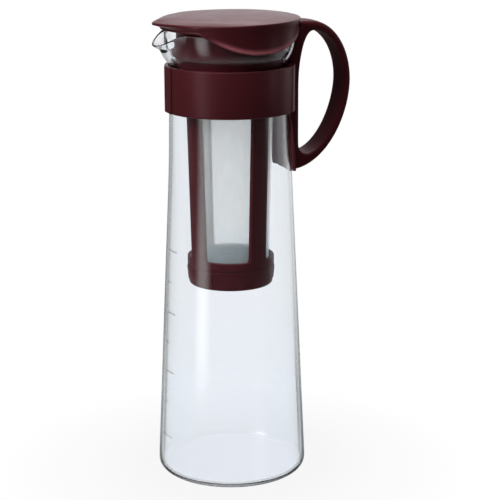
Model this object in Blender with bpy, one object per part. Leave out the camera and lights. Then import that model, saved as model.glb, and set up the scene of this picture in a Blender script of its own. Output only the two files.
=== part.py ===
"""Cold brew coffee maker: a glass carafe with a moulded neck band and handle, a mesh strainer and a lid.

Metres, +Z up. The origin is the centre of the flat glass base, the spout points to -X and the
handle to +X. Angles are measured about +Z from +X, so the spout is at half a turn.
"""

import math

import bmesh
import bpy
from mathutils import Vector

FIT = 0.0003                    # gap between two pieces that touch
OVERRUN = 0.0020                # how far a cutter reaches past what it cuts

# Glass carafe
BASE_RADIUS = 0.0490
HEEL_RADIUS = 0.0060
CONE_HEIGHT = 0.2000
NECK_RISE = 0.0400              # cone top up to where the band grips
THROAT_RISE = 0.0280            # grip up to the narrowest place
MOUTH_RISE = 0.0240             # throat up to the rim
NECK_RADIUS = 0.0391
CONE_TOP_EXTRA = 0.0007         # the cone top is this much wider than the grip
THROAT_PINCH = 0.0029           # the throat is this much narrower than the grip
MOUTH_FLARE = 0.0062            # the rim is this much wider than the throat
MOUTH_HEIGHT_SHARES = (0.42, 0.75)
MOUTH_FLARE_SHARES = (0.66, 0.93)
GLASS_WALL = 0.0020
FLOOR_THICKNESS = 0.0032
FLOOR_CORNER = 0.0030
GLASS_STEPS = 60
HEEL_STEPS = 4
CONE_STEPS = 3
NECK_STEPS = 2
PINCH_STEPS = 6
MOUTH_STEPS = 6

# Pouring spout, pressed out of the mouth
SPOUT_ANGLE = math.pi
SPOUT_HALF_ANGLE = math.radians(25)
SPOUT_CROWDING = 0.35           # more steps round the glass near the spout
CHANNEL_DEPTH = 0.0041          # the groove that starts in the throat
LIP_REACH = 0.0042              # the curl at the rim beyond the groove
LIP_DIP = 0.0070
CHANNEL_START_SHARE = -0.25     # shares of the rise from throat to rim
CHANNEL_END_SHARE = 0.40
LIP_START_SHARE = 0.50
DIP_START_SHARE = 0.25

# Neck band, two halves closed by a clip in front and the handle behind
BAND_START = 0.0411             # cone top up to the lower edge of the band
BAND_HEIGHT = 0.0292
BAND_WALL = 0.0022
BAND_EDGE = 0.0006
BEAD_HEIGHT_SHARE = 0.62        # where the inner bead grips the tapering neck
BEAD_THICKNESS = 0.0022
TONGUE_WALL = 0.0009
TONGUE_LENGTH = 0.0040
CLIP_WIDTH = 0.0122
CLIP_PROUD = 0.0004
CLIP_WEB_WIDTH = 0.0034
CLIP_EDGE = 0.0007
SADDLE_HALF_ANGLE = math.radians(39)
BAND_STEPS = 24
SADDLE_STEPS = 16
EDGE_STEPS = 2
TONGUE_STEPS = 4

# Strainer
SEAT_RISE = 0.0080              # throat up to the underside of the seat flange
THROAT_CLEARANCE = 0.0006
FLANGE_THICKNESS = 0.0016
COLLAR_STEP = 0.0030            # flange edge in to the upright collar
COLLAR_WALL = 0.0018
COLLAR_FOOT_HEIGHT = 0.0050     # the fillet from the flange up to the collar
COLLAR_STANDING = 0.0010        # collar top above the glass rim
RIB_TOP_DROP = 0.0280           # throat down to where the ribs begin
RIB_TOP_TAPER = 0.0027          # the strainer narrows this much over that drop
RIB_LENGTH = 0.0941
RIB_TAPER = 0.0026
RIB_DEPTH = 0.0030
RIB_WIDTH = 0.0125
RIB_COUNT = 4
RIB_FIRST_ANGLE = math.radians(20)
WINDOW_CORNER = 0.0028
RING_HEIGHT = 0.0053
STRAINER_STEPS = 56
WINDOW_STEPS = 8
CORNER_STEPS = 3

# Mesh sleeve inside the ribs
MESH_THICKNESS = 0.0005
MESH_TUCK = 0.0030              # how far the sleeve reaches above the windows

# Strainer cap
CAP_HEIGHT = 0.0126
CAP_TAPER = 0.0011
CAP_WALL = 0.0020
CAP_EDGE = 0.0011
PAD_HEIGHT = 0.00045
PAD_HALF_ANGLE = math.radians(34)
PAD_CENTRE = math.radians(190)
PAD_MARGIN = 0.0012
PAD_STEPS = 12
CAP_SIDE_STEPS = 14
SPIGOT_WALL = 0.0013
SPIGOT_HEIGHT = 0.0034
LUG_DEPTH = 0.0010
LUG_HEIGHT = 0.0012
LUG_HALF_ANGLE = math.radians(8)
LUG_ANGLES = (math.radians(95), math.radians(275))
LUG_STEPS = 4
TRACK_STEPS = 8
CAP_TURN = math.radians(28)     # counter-clockwise, from locked to the way out

# Lid
SKIRT_CLEARANCE = 0.0004
SKIRT_WALL = 0.0014
SKIRT_STEP = 0.0004             # the plate edge stands this far out from the skirt
SKIRT_TAPER = 0.0003
SKIRT_LEAST = 0.0005
SKIRT_DEPTH = 0.0130
SKIRT_LOW_ANGLE = math.radians(277)
SKIRT_FRONT_SPREAD = math.radians(53)
SKIRT_REAR_SPREAD = math.radians(70)
LID_LIFT = 0.0020               # plate underside above the collar top
LID_EDGE = 0.0042               # thickness at the rim, at the middle of its length
LID_EDGE_ROUND = 0.0009
LID_CROWN = 0.0032
CROWN_POWER = 3                 # flatter in the middle than a parabola
LID_SLOPE = 0.018               # rise of the top per length, from the spout up to the handle
LID_SKIN = 0.0018
BEAK_REACH = 0.0062
BEAK_SPREAD = math.radians(17)
BEAK_POWER = 1.6
PLUG_WALL = 0.0014
PLUG_DEPTH = 0.0090
LID_STEPS = 60
BEAK_CROWDING = 0.15            # more steps round the lid near the beak
CROWN_SHARES = (0.35, 0.7, 0.9)

# Handle
HANDLE_WIDTH = 0.0215
HANDLE_REACH = 0.0386           # band face out to the farthest point of the grip
HANDLE_DROP = 0.0410            # band lower edge down to the handle's lower end
HANDLE_TOP_GAP = 0.0026         # handle top below the edge of the lid
HANDLE_LID_GAP = 0.0007
SPINE_DEPTH = 0.0025            # band face out to the finger side of the spine
GRIP_WIDEST_SHARE = 0.593       # height of the farthest point, from lower end to top
GRIP_THICKNESS = 0.0048
GRIP_TOP_THICKNESS = 0.0068
GRIP_BOTTOM_THICKNESS = 0.0105
TOP_CREST_SHARE = 0.225         # where the top outline starts to fall, spine face to farthest point
OPENING_CREST_SHARE = 0.268
OPENING_FOOT_SHARE = 0.155
OPENING_FOOT_ROUND = 0.0062
GRIP_LOWER_POWER = 1.83         # flatter than an ellipse, which is power 2
OPENING_LOWER_POWER = 1.73
SECTION_POWER = 4.0
SECTION_TURNS = (0, 20, 42, 90, 138, 160, 180, 200, 222, 270, 318, 340)     # degrees
TOP_STEPS = 9
LOWER_STEPS = 11
FOOT_STEPS = 4
SHOULDER_STEPS = 7
LOWER_SPINE_SHARES = (0.5, 1)
UPPER_SPINE_SHARES = (0.35, 0.7, 1)
TOP_RUN_SHARES = (0.3, 0.55, 0.8)
PLATE_HALF_ANGLE = math.radians(24)
PLATE_WALL = 0.0024
PLATE_END_MARGIN = 0.0008
PLATE_CORNER = 0.0080           # rounding of the plate's lower corners
PLATE_FILLET = 0.0040           # where the plate widens into the saddle
PLATE_STEPS = 10

# Worked out from the sizes above
GRIP_Z = CONE_HEIGHT + NECK_RISE
THROAT_Z = GRIP_Z + THROAT_RISE
RIM_Z = THROAT_Z + MOUTH_RISE
THROAT_RADIUS = NECK_RADIUS - THROAT_PINCH
RIM_RADIUS = THROAT_RADIUS + MOUTH_FLARE
ROUND_MIDDLE_SHARE = 1 - math.sqrt(0.5)     # of its radius, what an eased edge loses at its middle


def eased_curve(stations, position, start_slope):
    """Value at a position of a smooth curve through (position, value) stations, without overshoot."""
    spans = [b[0] - a[0] for a, b in zip(stations, stations[1:])]
    rises = [(b[1] - a[1]) / (b[0] - a[0]) for a, b in zip(stations, stations[1:])]
    slopes = [start_slope]
    for before, after in zip(rises, rises[1:]):
        same_way = before * after > 0
        slopes.append(2 * before * after / (before + after) if same_way else 0)
    slopes.append(rises[-1])
    place = min(max(position, stations[0][0]), stations[-1][0])
    index = 0
    while index < len(spans) - 1 and place > stations[index + 1][0]:
        index += 1
    t = (place - stations[index][0]) / spans[index]
    low, high = stations[index][1], stations[index + 1][1]
    pull = spans[index] * (slopes[index] * t * (1 - t) ** 2 - slopes[index + 1] * t * t * (1 - t))
    return low + (high - low) * t * t * (3 - 2 * t) + pull


def smooth_step(value):
    t = min(max(value, 0), 1)
    return t * t * (3 - 2 * t)


def glass_radius(z):
    """Outer radius of the round glass, spout apart."""
    cone_top = NECK_RADIUS + CONE_TOP_EXTRA
    slope = (cone_top - BASE_RADIUS) / (CONE_HEIGHT - HEEL_RADIUS)
    if z <= CONE_HEIGHT:
        return cone_top + slope * (z - CONE_HEIGHT)
    stations = [(CONE_HEIGHT, cone_top), (GRIP_Z, NECK_RADIUS), (THROAT_Z, THROAT_RADIUS)]
    for height, flare in zip(MOUTH_HEIGHT_SHARES, MOUTH_FLARE_SHARES):
        stations.append((THROAT_Z + MOUTH_RISE * height, THROAT_RADIUS + MOUTH_FLARE * flare))
    stations.append((RIM_Z, RIM_RADIUS))
    return eased_curve(stations, z, slope)


def glass_bore(z):
    """Inner radius of the glass, one wall in from the outer face along its normal."""
    slope = (glass_radius(z + FIT) - glass_radius(z - FIT)) / (2 * FIT)
    return glass_radius(z) - GLASS_WALL * math.hypot(1, slope)


def steps_between(start, end, steps):
    """Evenly spaced values from start to end, both included."""
    return [start + (end - start) * step / steps for step in range(steps + 1)]


def wall_heights(low, high):
    """Heights at which the glass wall has a row of points, closest where it curves."""
    heights = steps_between(low, CONE_HEIGHT, CONE_STEPS)
    heights += steps_between(CONE_HEIGHT, GRIP_Z, NECK_STEPS)[1:]
    heights += steps_between(GRIP_Z, THROAT_Z, PINCH_STEPS)[1:]
    heights += steps_between(THROAT_Z, high, MOUTH_STEPS)[1:]
    return heights


BAND_BOTTOM_Z = CONE_HEIGHT + BAND_START
BAND_TOP_Z = BAND_BOTTOM_Z + BAND_HEIGHT
BAND_BORE = max(glass_radius(BAND_BOTTOM_Z), glass_radius(BAND_TOP_Z)) + FIT
BAND_RADIUS = BAND_BORE + BAND_WALL
TONGUE_RADIUS = BAND_BORE + TONGUE_WALL

SEAT_Z = THROAT_Z + SEAT_RISE
FLANGE_RADIUS = glass_bore(SEAT_Z) - FIT
COLLAR_RADIUS = FLANGE_RADIUS - COLLAR_STEP
COLLAR_BORE = COLLAR_RADIUS - COLLAR_WALL
COLLAR_TOP_Z = RIM_Z + COLLAR_STANDING
STRAINER_NECK_RADIUS = glass_bore(THROAT_Z) - THROAT_CLEARANCE
RIB_TOP_Z = THROAT_Z - RIB_TOP_DROP
RIB_TOP_RADIUS = STRAINER_NECK_RADIUS - RIB_TOP_TAPER
RING_TOP_Z = RIB_TOP_Z - RIB_LENGTH
RING_Z = RING_TOP_Z - RING_HEIGHT
RING_RADIUS = RIB_TOP_RADIUS - RIB_TAPER
RING_BORE = RING_RADIUS - RIB_DEPTH
CAP_TOP_Z = RING_Z - FIT
CAP_BOTTOM_Z = CAP_TOP_Z - CAP_HEIGHT

SKIRT_BORE = RIM_RADIUS + SKIRT_CLEARANCE
SKIRT_RADIUS = SKIRT_BORE + SKIRT_WALL
LID_RADIUS = SKIRT_RADIUS + SKIRT_STEP
LID_UNDERSIDE_Z = COLLAR_TOP_Z + LID_LIFT
LID_EDGE_Z = LID_UNDERSIDE_Z + LID_EDGE

SPINE_FACE_X = BAND_RADIUS + SPINE_DEPTH
HANDLE_FAR_X = BAND_RADIUS + HANDLE_REACH
HANDLE_TOP_Z = LID_EDGE_Z - HANDLE_TOP_GAP
HANDLE_BOTTOM_Z = BAND_BOTTOM_Z - HANDLE_DROP


# Mesh helpers

def clear_scene():
    for item in list(bpy.data.objects):
        bpy.data.objects.remove(item, do_unlink=True)


def polar(radius, angle, z):
    return Vector((radius * math.cos(angle), radius * math.sin(angle), z))


def turn_angles(steps, crowding=0):
    """Angles once round, set closer together near half a turn by the crowding."""
    angles = []
    for step in range(steps):
        even = 2 * math.pi * step / steps
        angles.append(even + crowding * math.sin(even))
    return angles


def add_piece(name, mesh):
    piece = bpy.data.objects.new(name, mesh)
    bpy.context.collection.objects.link(piece)
    return piece


def skin_rings(name, rings, closed_path=False):
    """A solid through a row of closed rings. A ring of one point is a pole, and open ends are capped."""
    shell = bmesh.new()
    rows = [[shell.verts.new(point) for point in ring] for ring in rings]
    pairs = list(zip(rows, rows[1:]))
    if closed_path:
        pairs.append((rows[-1], rows[0]))
    for one, other in pairs:
        count = max(len(one), len(other))
        for index in range(count):
            following = (index + 1) % count
            if len(one) == 1:
                shell.faces.new((one[0], other[index], other[following]))
            elif len(other) == 1:
                shell.faces.new((one[index], one[following], other[0]))
            else:
                shell.faces.new((one[index], one[following], other[following], other[index]))
    if not closed_path:
        for row in (rows[0], rows[-1]):
            if len(row) > 1:
                shell.faces.new(row)
    bmesh.ops.recalc_face_normals(shell, faces=shell.faces)
    mesh = bpy.data.meshes.new(name)
    shell.to_mesh(mesh)
    shell.free()
    return add_piece(name, mesh)


def revolve(name, outline, angles):
    """Turn a closed (radius, z) outline once round."""
    rings = [[polar(radius, angle, z) for radius, z in outline] for angle in angles]
    return skin_rings(name, rings, closed_path=True)


def revolve_arc(name, outline, start, end, steps):
    """Turn a closed (radius, z) outline through part of a turn and cap both ends."""
    angles = steps_between(start, end, steps)
    return skin_rings(name, [[polar(radius, angle, z) for radius, z in outline] for angle in angles])


def combine(piece, tool, operation):
    """Apply an exact boolean to the piece and remove the tool."""
    modifier = piece.modifiers.new(operation, "BOOLEAN")
    modifier.operation = operation
    modifier.solver = "EXACT"
    modifier.object = tool
    depsgraph = bpy.context.evaluated_depsgraph_get()
    mesh = bpy.data.meshes.new_from_object(piece.evaluated_get(depsgraph))
    piece.modifiers.clear()
    piece.data = mesh
    mesh.name = piece.name
    bpy.data.objects.remove(tool, do_unlink=True)


def rounded_corner(centre, radius, start, end, steps):
    """Points of an arc about a (radius, z) centre."""
    points = []
    for angle in steps_between(start, end, steps):
        points.append((centre[0] + radius * math.cos(angle), centre[1] + radius * math.sin(angle)))
    return points


def corner_rows(start_z, way, radius):
    """Heights and insets of a rounded corner that starts level at start_z and ends upright."""
    rows = []
    for swing in steps_between(0, 0.5 * math.pi, CORNER_STEPS):
        rows.append((start_z + way * radius * (1 - math.cos(swing)), radius * (1 - math.sin(swing))))
    return rows


def finish_material(piece, name, colour, roughness, transmission=0.0, ior=1.46):
    material = bpy.data.materials.new(name)
    material.use_nodes = True
    shader = material.node_tree.nodes["Principled BSDF"]
    shader.inputs["Base Color"].default_value = (*colour, 1.0)
    shader.inputs["Roughness"].default_value = roughness
    shader.inputs["Metallic"].default_value = 0.0
    shader.inputs["Transmission Weight"].default_value = transmission
    shader.inputs["IOR"].default_value = ior
    material.diffuse_color = (*colour, 1.0)
    piece.data.materials.clear()
    piece.data.materials.append(material)
    piece.data.shade_smooth()
    piece.data.set_sharp_from_angle(angle=math.radians(35))


def brown_plastic(piece):
    finish_material(piece, piece.name + "_plastic", (0.060, 0.011, 0.014), 0.28)


# Glass carafe

def spout_share(angle):
    """One in the middle of the spout, falling to nothing at its sides."""
    away = abs((angle - SPOUT_ANGLE + math.pi) % (2 * math.pi) - math.pi)
    if away >= SPOUT_HALF_ANGLE:
        return 0
    return math.cos(0.5 * math.pi * away / SPOUT_HALF_ANGLE) ** 2


def poured_point(radius, angle, z):
    """A point of the round mouth, pressed out and down where the spout is."""
    rise = (z - THROAT_Z) / MOUTH_RISE
    channel = smooth_step((rise - CHANNEL_START_SHARE) / (CHANNEL_END_SHARE - CHANNEL_START_SHARE))
    lip = smooth_step((rise - LIP_START_SHARE) / (1 - LIP_START_SHARE)) ** 2
    dip = smooth_step((rise - DIP_START_SHARE) / (1 - DIP_START_SHARE)) ** 2
    share = spout_share(angle)
    out = (CHANNEL_DEPTH * channel + LIP_REACH * lip) * share
    return polar(radius + out, angle, z - LIP_DIP * dip * share)


def glass_outline():
    """Outline of the wall from the middle of the base, up outside, over the rim and down inside."""
    heel_centre = (BASE_RADIUS - HEEL_RADIUS, HEEL_RADIUS)
    outline = [(0, 0)]
    outline += rounded_corner(heel_centre, HEEL_RADIUS, -0.5 * math.pi, 0, HEEL_STEPS)
    half_wall = 0.5 * GLASS_WALL
    heights = wall_heights(HEEL_RADIUS, RIM_Z - half_wall)[1:]
    outline += [(glass_radius(z), z) for z in heights]
    rim_centre = (RIM_RADIUS - half_wall, RIM_Z - half_wall)
    outline += rounded_corner(rim_centre, half_wall, 0.25 * math.pi, 0.75 * math.pi, EDGE_STEPS)
    outline += [(glass_bore(z), z) for z in reversed(heights)]
    floor_edge = glass_bore(FLOOR_THICKNESS + FLOOR_CORNER)
    corner_centre = (floor_edge - FLOOR_CORNER, FLOOR_THICKNESS + FLOOR_CORNER)
    outline += rounded_corner(corner_centre, FLOOR_CORNER, 0, -0.5 * math.pi, CORNER_STEPS)
    outline.append((0, FLOOR_THICKNESS))
    return outline


def make_glass_carafe():
    angles = turn_angles(GLASS_STEPS, SPOUT_CROWDING)
    rings = []
    for radius, z in glass_outline():
        if radius == 0:
            rings.append([Vector((0, 0, z))])
        else:
            rings.append([poured_point(radius, angle, z) for angle in angles])
    piece = skin_rings("glass_carafe", rings)
    finish_material(piece, "borosilicate_glass", (0.93, 0.96, 0.96), 0.02, transmission=1.0, ior=1.47)
    return piece


# Neck band and its clip

def band_outline():
    """Section of the band: a thin wall with eased edges and an inner bead that grips the neck."""
    bead_z = BAND_BOTTOM_Z + BAND_HEIGHT * BEAD_HEIGHT_SHARE
    half_bead = 0.5 * BEAD_THICKNESS
    bead_radius = max(glass_radius(bead_z - half_bead), glass_radius(bead_z + half_bead)) + FIT
    bead_root = BAND_BORE - bead_radius
    outer = BAND_RADIUS - BAND_EDGE
    return [
        (BAND_BORE, BAND_BOTTOM_Z),
        *rounded_corner((outer, BAND_BOTTOM_Z + BAND_EDGE), BAND_EDGE, -0.5 * math.pi, 0, EDGE_STEPS),
        *rounded_corner((outer, BAND_TOP_Z - BAND_EDGE), BAND_EDGE, 0, 0.5 * math.pi, EDGE_STEPS),
        (BAND_BORE, BAND_TOP_Z),
        (BAND_BORE, bead_z + half_bead + bead_root),
        (bead_radius, bead_z + half_bead),
        (bead_radius, bead_z - half_bead),
        (BAND_BORE, bead_z - half_bead - bead_root),
    ]


def rebate(start, end):
    """Cutter that thins the outside of the band to a tongue between two angles."""
    outer = BAND_RADIUS + OVERRUN
    low = BAND_BOTTOM_Z - OVERRUN
    high = BAND_TOP_Z + OVERRUN
    outline = [(TONGUE_RADIUS, low), (outer, low), (outer, high), (TONGUE_RADIUS, high)]
    return revolve_arc("rebate", outline, start, end, TONGUE_STEPS)


def make_band_half(name, side):
    """One half of the band. Both ends are thinned: one slides under the clip, one under the handle."""
    gap = FIT / BAND_BORE
    clip_edge = math.pi - 0.5 * CLIP_WIDTH / BAND_RADIUS
    clip_end = math.pi - 0.5 * CLIP_WEB_WIDTH / BAND_BORE - gap
    saddle_end = SADDLE_HALF_ANGLE - TONGUE_LENGTH / BAND_BORE
    spill = OVERRUN / BAND_BORE
    piece = revolve_arc(name, band_outline(), side * saddle_end, side * clip_end, BAND_STEPS)
    combine(piece, rebate(side * (saddle_end - spill), side * SADDLE_HALF_ANGLE), "DIFFERENCE")
    combine(piece, rebate(side * (clip_edge - gap), side * (clip_end + spill)), "DIFFERENCE")
    brown_plastic(piece)
    return piece


def make_band_clip():
    """Front clip: a flat-faced strip over both tongues, with a web that fills the space between them."""
    edge_angle = 0.5 * CLIP_WIDTH / BAND_RADIUS
    web_angle = 0.5 * CLIP_WEB_WIDTH / BAND_BORE
    under = TONGUE_RADIUS + FIT
    steps = ((under, edge_angle), (under, web_angle), (BAND_BORE, web_angle))
    rings = []
    for z, eased in (
        (BAND_BOTTOM_Z, CLIP_EDGE),
        (BAND_BOTTOM_Z + CLIP_EDGE, 0),
        (BAND_TOP_Z - CLIP_EDGE, 0),
        (BAND_TOP_Z, CLIP_EDGE),
    ):
        face_x = eased - BAND_RADIUS - CLIP_PROUD
        side = [Vector((face_x, 0.5 * CLIP_WIDTH - CLIP_EDGE - 0.5 * eased, z))]
        side.append(polar(BAND_RADIUS - eased, math.pi - edge_angle, z))
        side += [polar(radius, math.pi - angle, z) for radius, angle in steps]
        rings.append(side + [Vector((point.x, -point.y, z)) for point in reversed(side)])
    piece = skin_rings("band_clip", rings)
    brown_plastic(piece)
    return piece


# Strainer

def strainer_radius(z):
    """Outer radius of the tapering strainer below its flange."""
    if z >= RIB_TOP_Z:
        share = (z - RIB_TOP_Z) / RIB_TOP_DROP
        return RIB_TOP_RADIUS + (STRAINER_NECK_RADIUS - RIB_TOP_RADIUS) * min(share, 1)
    share = max((z - RING_TOP_Z) / RIB_LENGTH, 0)
    return RING_RADIUS + (RIB_TOP_RADIUS - RING_RADIUS) * share


def strainer_outline():
    """Section of the strainer body, with the collar, the seat flange and the tapering wall."""
    flange_top = SEAT_Z + FLANGE_THICKNESS
    flange_round = 0.5 * FLANGE_THICKNESS
    foot_width = COLLAR_STEP - flange_round
    collar_edge = 0.25 * COLLAR_WALL
    neck_bore = STRAINER_NECK_RADIUS - COLLAR_WALL
    return [
        (RING_BORE, RING_Z),
        (RING_RADIUS, RING_Z),
        (RING_RADIUS, RING_TOP_Z),
        (RIB_TOP_RADIUS, RIB_TOP_Z),
        (STRAINER_NECK_RADIUS, THROAT_Z),
        (STRAINER_NECK_RADIUS, SEAT_Z - flange_round),
        (FLANGE_RADIUS - flange_round, SEAT_Z),
        (FLANGE_RADIUS, SEAT_Z + flange_round),
        (FLANGE_RADIUS - flange_round, flange_top),
        (
            COLLAR_RADIUS + ROUND_MIDDLE_SHARE * foot_width,
            flange_top + ROUND_MIDDLE_SHARE * COLLAR_FOOT_HEIGHT,
        ),
        (COLLAR_RADIUS, flange_top + COLLAR_FOOT_HEIGHT),
        (COLLAR_RADIUS, COLLAR_TOP_Z - collar_edge),
        (COLLAR_RADIUS - collar_edge, COLLAR_TOP_Z),
        (COLLAR_BORE, COLLAR_TOP_Z),
        (COLLAR_BORE, flange_top),
        (neck_bore, SEAT_Z - flange_round),
        (neck_bore, THROAT_Z),
        (RIB_TOP_RADIUS - RIB_DEPTH, RIB_TOP_Z + MESH_TUCK),
        (RIB_TOP_RADIUS - RIB_DEPTH, RIB_TOP_Z),
        (RING_BORE, RING_TOP_Z),
    ]


def window_cutter(angle):
    """A radial block with rounded corners, as wide as the space between two ribs."""
    rows = corner_rows(RING_TOP_Z, 1, WINDOW_CORNER)
    rows += reversed(corner_rows(RIB_TOP_Z, -1, WINDOW_CORNER))
    rings = []
    for z, inset in rows:
        radius = strainer_radius(z)
        half_gap = math.pi / RIB_COUNT - (0.5 * RIB_WIDTH + inset) / radius
        turns = steps_between(angle - half_gap, angle + half_gap, WINDOW_STEPS)
        ring = [polar(radius + OVERRUN, turn, z) for turn in turns]
        ring += [polar(radius - RIB_DEPTH - OVERRUN, turn, z) for turn in reversed(turns)]
        rings.append(ring)
    return skin_rings("window_cutter", rings)


def lug_track(angle):
    """Groove in the ring for one cap lug: a way in from below and a turn to the side."""
    inner = RING_BORE - OVERRUN
    outer = RING_BORE + LUG_DEPTH
    lug_z = RING_Z + 0.5 * RING_HEIGHT
    reach = 0.5 * LUG_HEIGHT + FIT
    half = LUG_HALF_ANGLE + FIT / RING_BORE
    level = [(inner, lug_z - reach), (outer, lug_z - reach), (outer, lug_z + reach), (inner, lug_z + reach)]
    track = revolve_arc("lug_track", level, angle - half, angle + half + CAP_TURN, TRACK_STEPS)
    low = RING_Z - OVERRUN
    entry = [(inner, low), (outer, low), (outer, lug_z + reach), (inner, lug_z + reach)]
    way_in = revolve_arc("lug_entry", entry, angle - half + CAP_TURN, angle + half + CAP_TURN, LUG_STEPS)
    combine(track, way_in, "UNION")
    return track


def make_strainer_frame():
    piece = revolve("strainer_frame", strainer_outline(), turn_angles(STRAINER_STEPS))
    for index in range(RIB_COUNT):
        middle = RIB_FIRST_ANGLE + 2 * math.pi * (index + 0.5) / RIB_COUNT
        combine(piece, window_cutter(middle), "DIFFERENCE")
    for angle in LUG_ANGLES:
        combine(piece, lug_track(angle), "DIFFERENCE")
    brown_plastic(piece)
    return piece


def make_mesh_sleeve():
    """Tapered tube of fine mesh, welded to the inner faces of the ribs."""
    top_z = RIB_TOP_Z + MESH_TUCK - FIT
    low_z = RING_Z + SPIGOT_HEIGHT + FIT
    outline = []
    for z in (low_z, RING_TOP_Z, RIB_TOP_Z, top_z):
        outline.append((strainer_radius(min(z, RIB_TOP_Z)) - RIB_DEPTH - FIT, z))
    outline += [(radius - MESH_THICKNESS, z) for radius, z in reversed(outline)]
    piece = revolve("mesh_sleeve", outline, turn_angles(STRAINER_STEPS))
    finish_material(piece, "nylon_mesh", (0.80, 0.82, 0.83), 0.6)
    return piece


def make_strainer_cap():
    """Closed cap under the strainer, with two raised grip pads and two lugs that lock in the ring."""
    spigot_radius = RING_BORE - FIT
    spigot_top = CAP_TOP_Z + FIT + SPIGOT_HEIGHT
    inside = RING_RADIUS - CAP_WALL
    low_radius = RING_RADIUS - CAP_TAPER
    pad_low = CAP_BOTTOM_Z + PAD_MARGIN + CAP_EDGE
    pad_high = CAP_TOP_Z - PAD_MARGIN
    floor_z = CAP_BOTTOM_Z + CAP_WALL
    spigot_bore = spigot_radius - SPIGOT_WALL
    slope = CAP_TAPER / CAP_HEIGHT
    corner = (low_radius - CAP_EDGE, CAP_BOTTOM_Z + CAP_EDGE)
    outside = [(0, CAP_BOTTOM_Z, 0)]
    for radius, z in rounded_corner(corner, CAP_EDGE, -0.5 * math.pi, 0, CORNER_STEPS):
        outside.append((radius, z, 0))
    for z, raised in ((pad_low, 0), (pad_low + PAD_HEIGHT, 1), (pad_high - PAD_HEIGHT, 1), (pad_high, 0)):
        outside.append((low_radius + slope * (z - CAP_BOTTOM_Z), z, raised))
    outside.append((RING_RADIUS, CAP_TOP_Z, 0))
    inner = [
        (spigot_radius, CAP_TOP_Z, 0),
        (spigot_radius, spigot_top, 0),
        (spigot_bore, spigot_top, 0),
        (spigot_bore, CAP_TOP_Z - CAP_WALL, 0),
        (inside - CAP_TAPER, CAP_TOP_Z - CAP_WALL - CAP_TAPER, 0),
        (inside - CAP_TAPER, floor_z, 0),
        (0, floor_z, 0),
    ]
    pad_edge = PAD_HEIGHT / RING_RADIUS
    angles = []
    for centre in (PAD_CENTRE - math.pi, PAD_CENTRE):
        pad_end = centre + PAD_HALF_ANGLE
        next_pad = centre + math.pi - PAD_HALF_ANGLE
        angles += steps_between(centre - PAD_HALF_ANGLE, pad_end, PAD_STEPS)
        angles += steps_between(pad_end + pad_edge, next_pad - pad_edge, CAP_SIDE_STEPS)
    rings = []
    for radius, z, raised in outside + inner:
        if radius == 0:
            rings.append([Vector((0, 0, z))])
            continue
        ring = []
        for angle in angles:
            away = abs((angle - PAD_CENTRE + 0.5 * math.pi) % math.pi - 0.5 * math.pi)
            on_pad = away <= PAD_HALF_ANGLE + 0.25 * pad_edge
            ring.append(polar(radius + PAD_HEIGHT * raised * on_pad, angle, z))
        rings.append(ring)
    piece = skin_rings("strainer_cap", rings)
    lug_z = RING_Z + 0.5 * RING_HEIGHT
    lug_foot = spigot_radius - 0.5 * SPIGOT_WALL
    lug_tip = RING_BORE + LUG_DEPTH - FIT
    low = lug_z - 0.5 * LUG_HEIGHT
    high = lug_z + 0.5 * LUG_HEIGHT
    section = [(lug_foot, low), (lug_tip, low), (lug_tip, high), (lug_foot, high)]
    for angle in LUG_ANGLES:
        lug = revolve_arc("lug", section, angle - LUG_HALF_ANGLE, angle + LUG_HALF_ANGLE, LUG_STEPS)
        combine(piece, lug, "UNION")
    brown_plastic(piece)
    return piece


# Lid

def lid_reach(angle):
    """How far the edge of the lid stands out beyond its circle, towards the spout."""
    away = abs((angle - SPOUT_ANGLE + math.pi) % (2 * math.pi) - math.pi)
    return BEAK_REACH * math.exp(-((away / BEAK_SPREAD) ** BEAK_POWER))


def skirt_depth(angle):
    """Depth of the skirt under the plate: one lobe on each side, none at the spout and the handle."""
    turned = angle % (2 * math.pi)
    mirrored = max(turned, 2 * math.pi - turned)
    away = mirrored - SKIRT_LOW_ANGLE
    spread = SKIRT_REAR_SPREAD if away > 0 else SKIRT_FRONT_SPREAD
    share = min(abs(away) / spread, 1)
    return SKIRT_LEAST + (SKIRT_DEPTH - SKIRT_LEAST) * math.cos(0.5 * math.pi * share)


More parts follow.
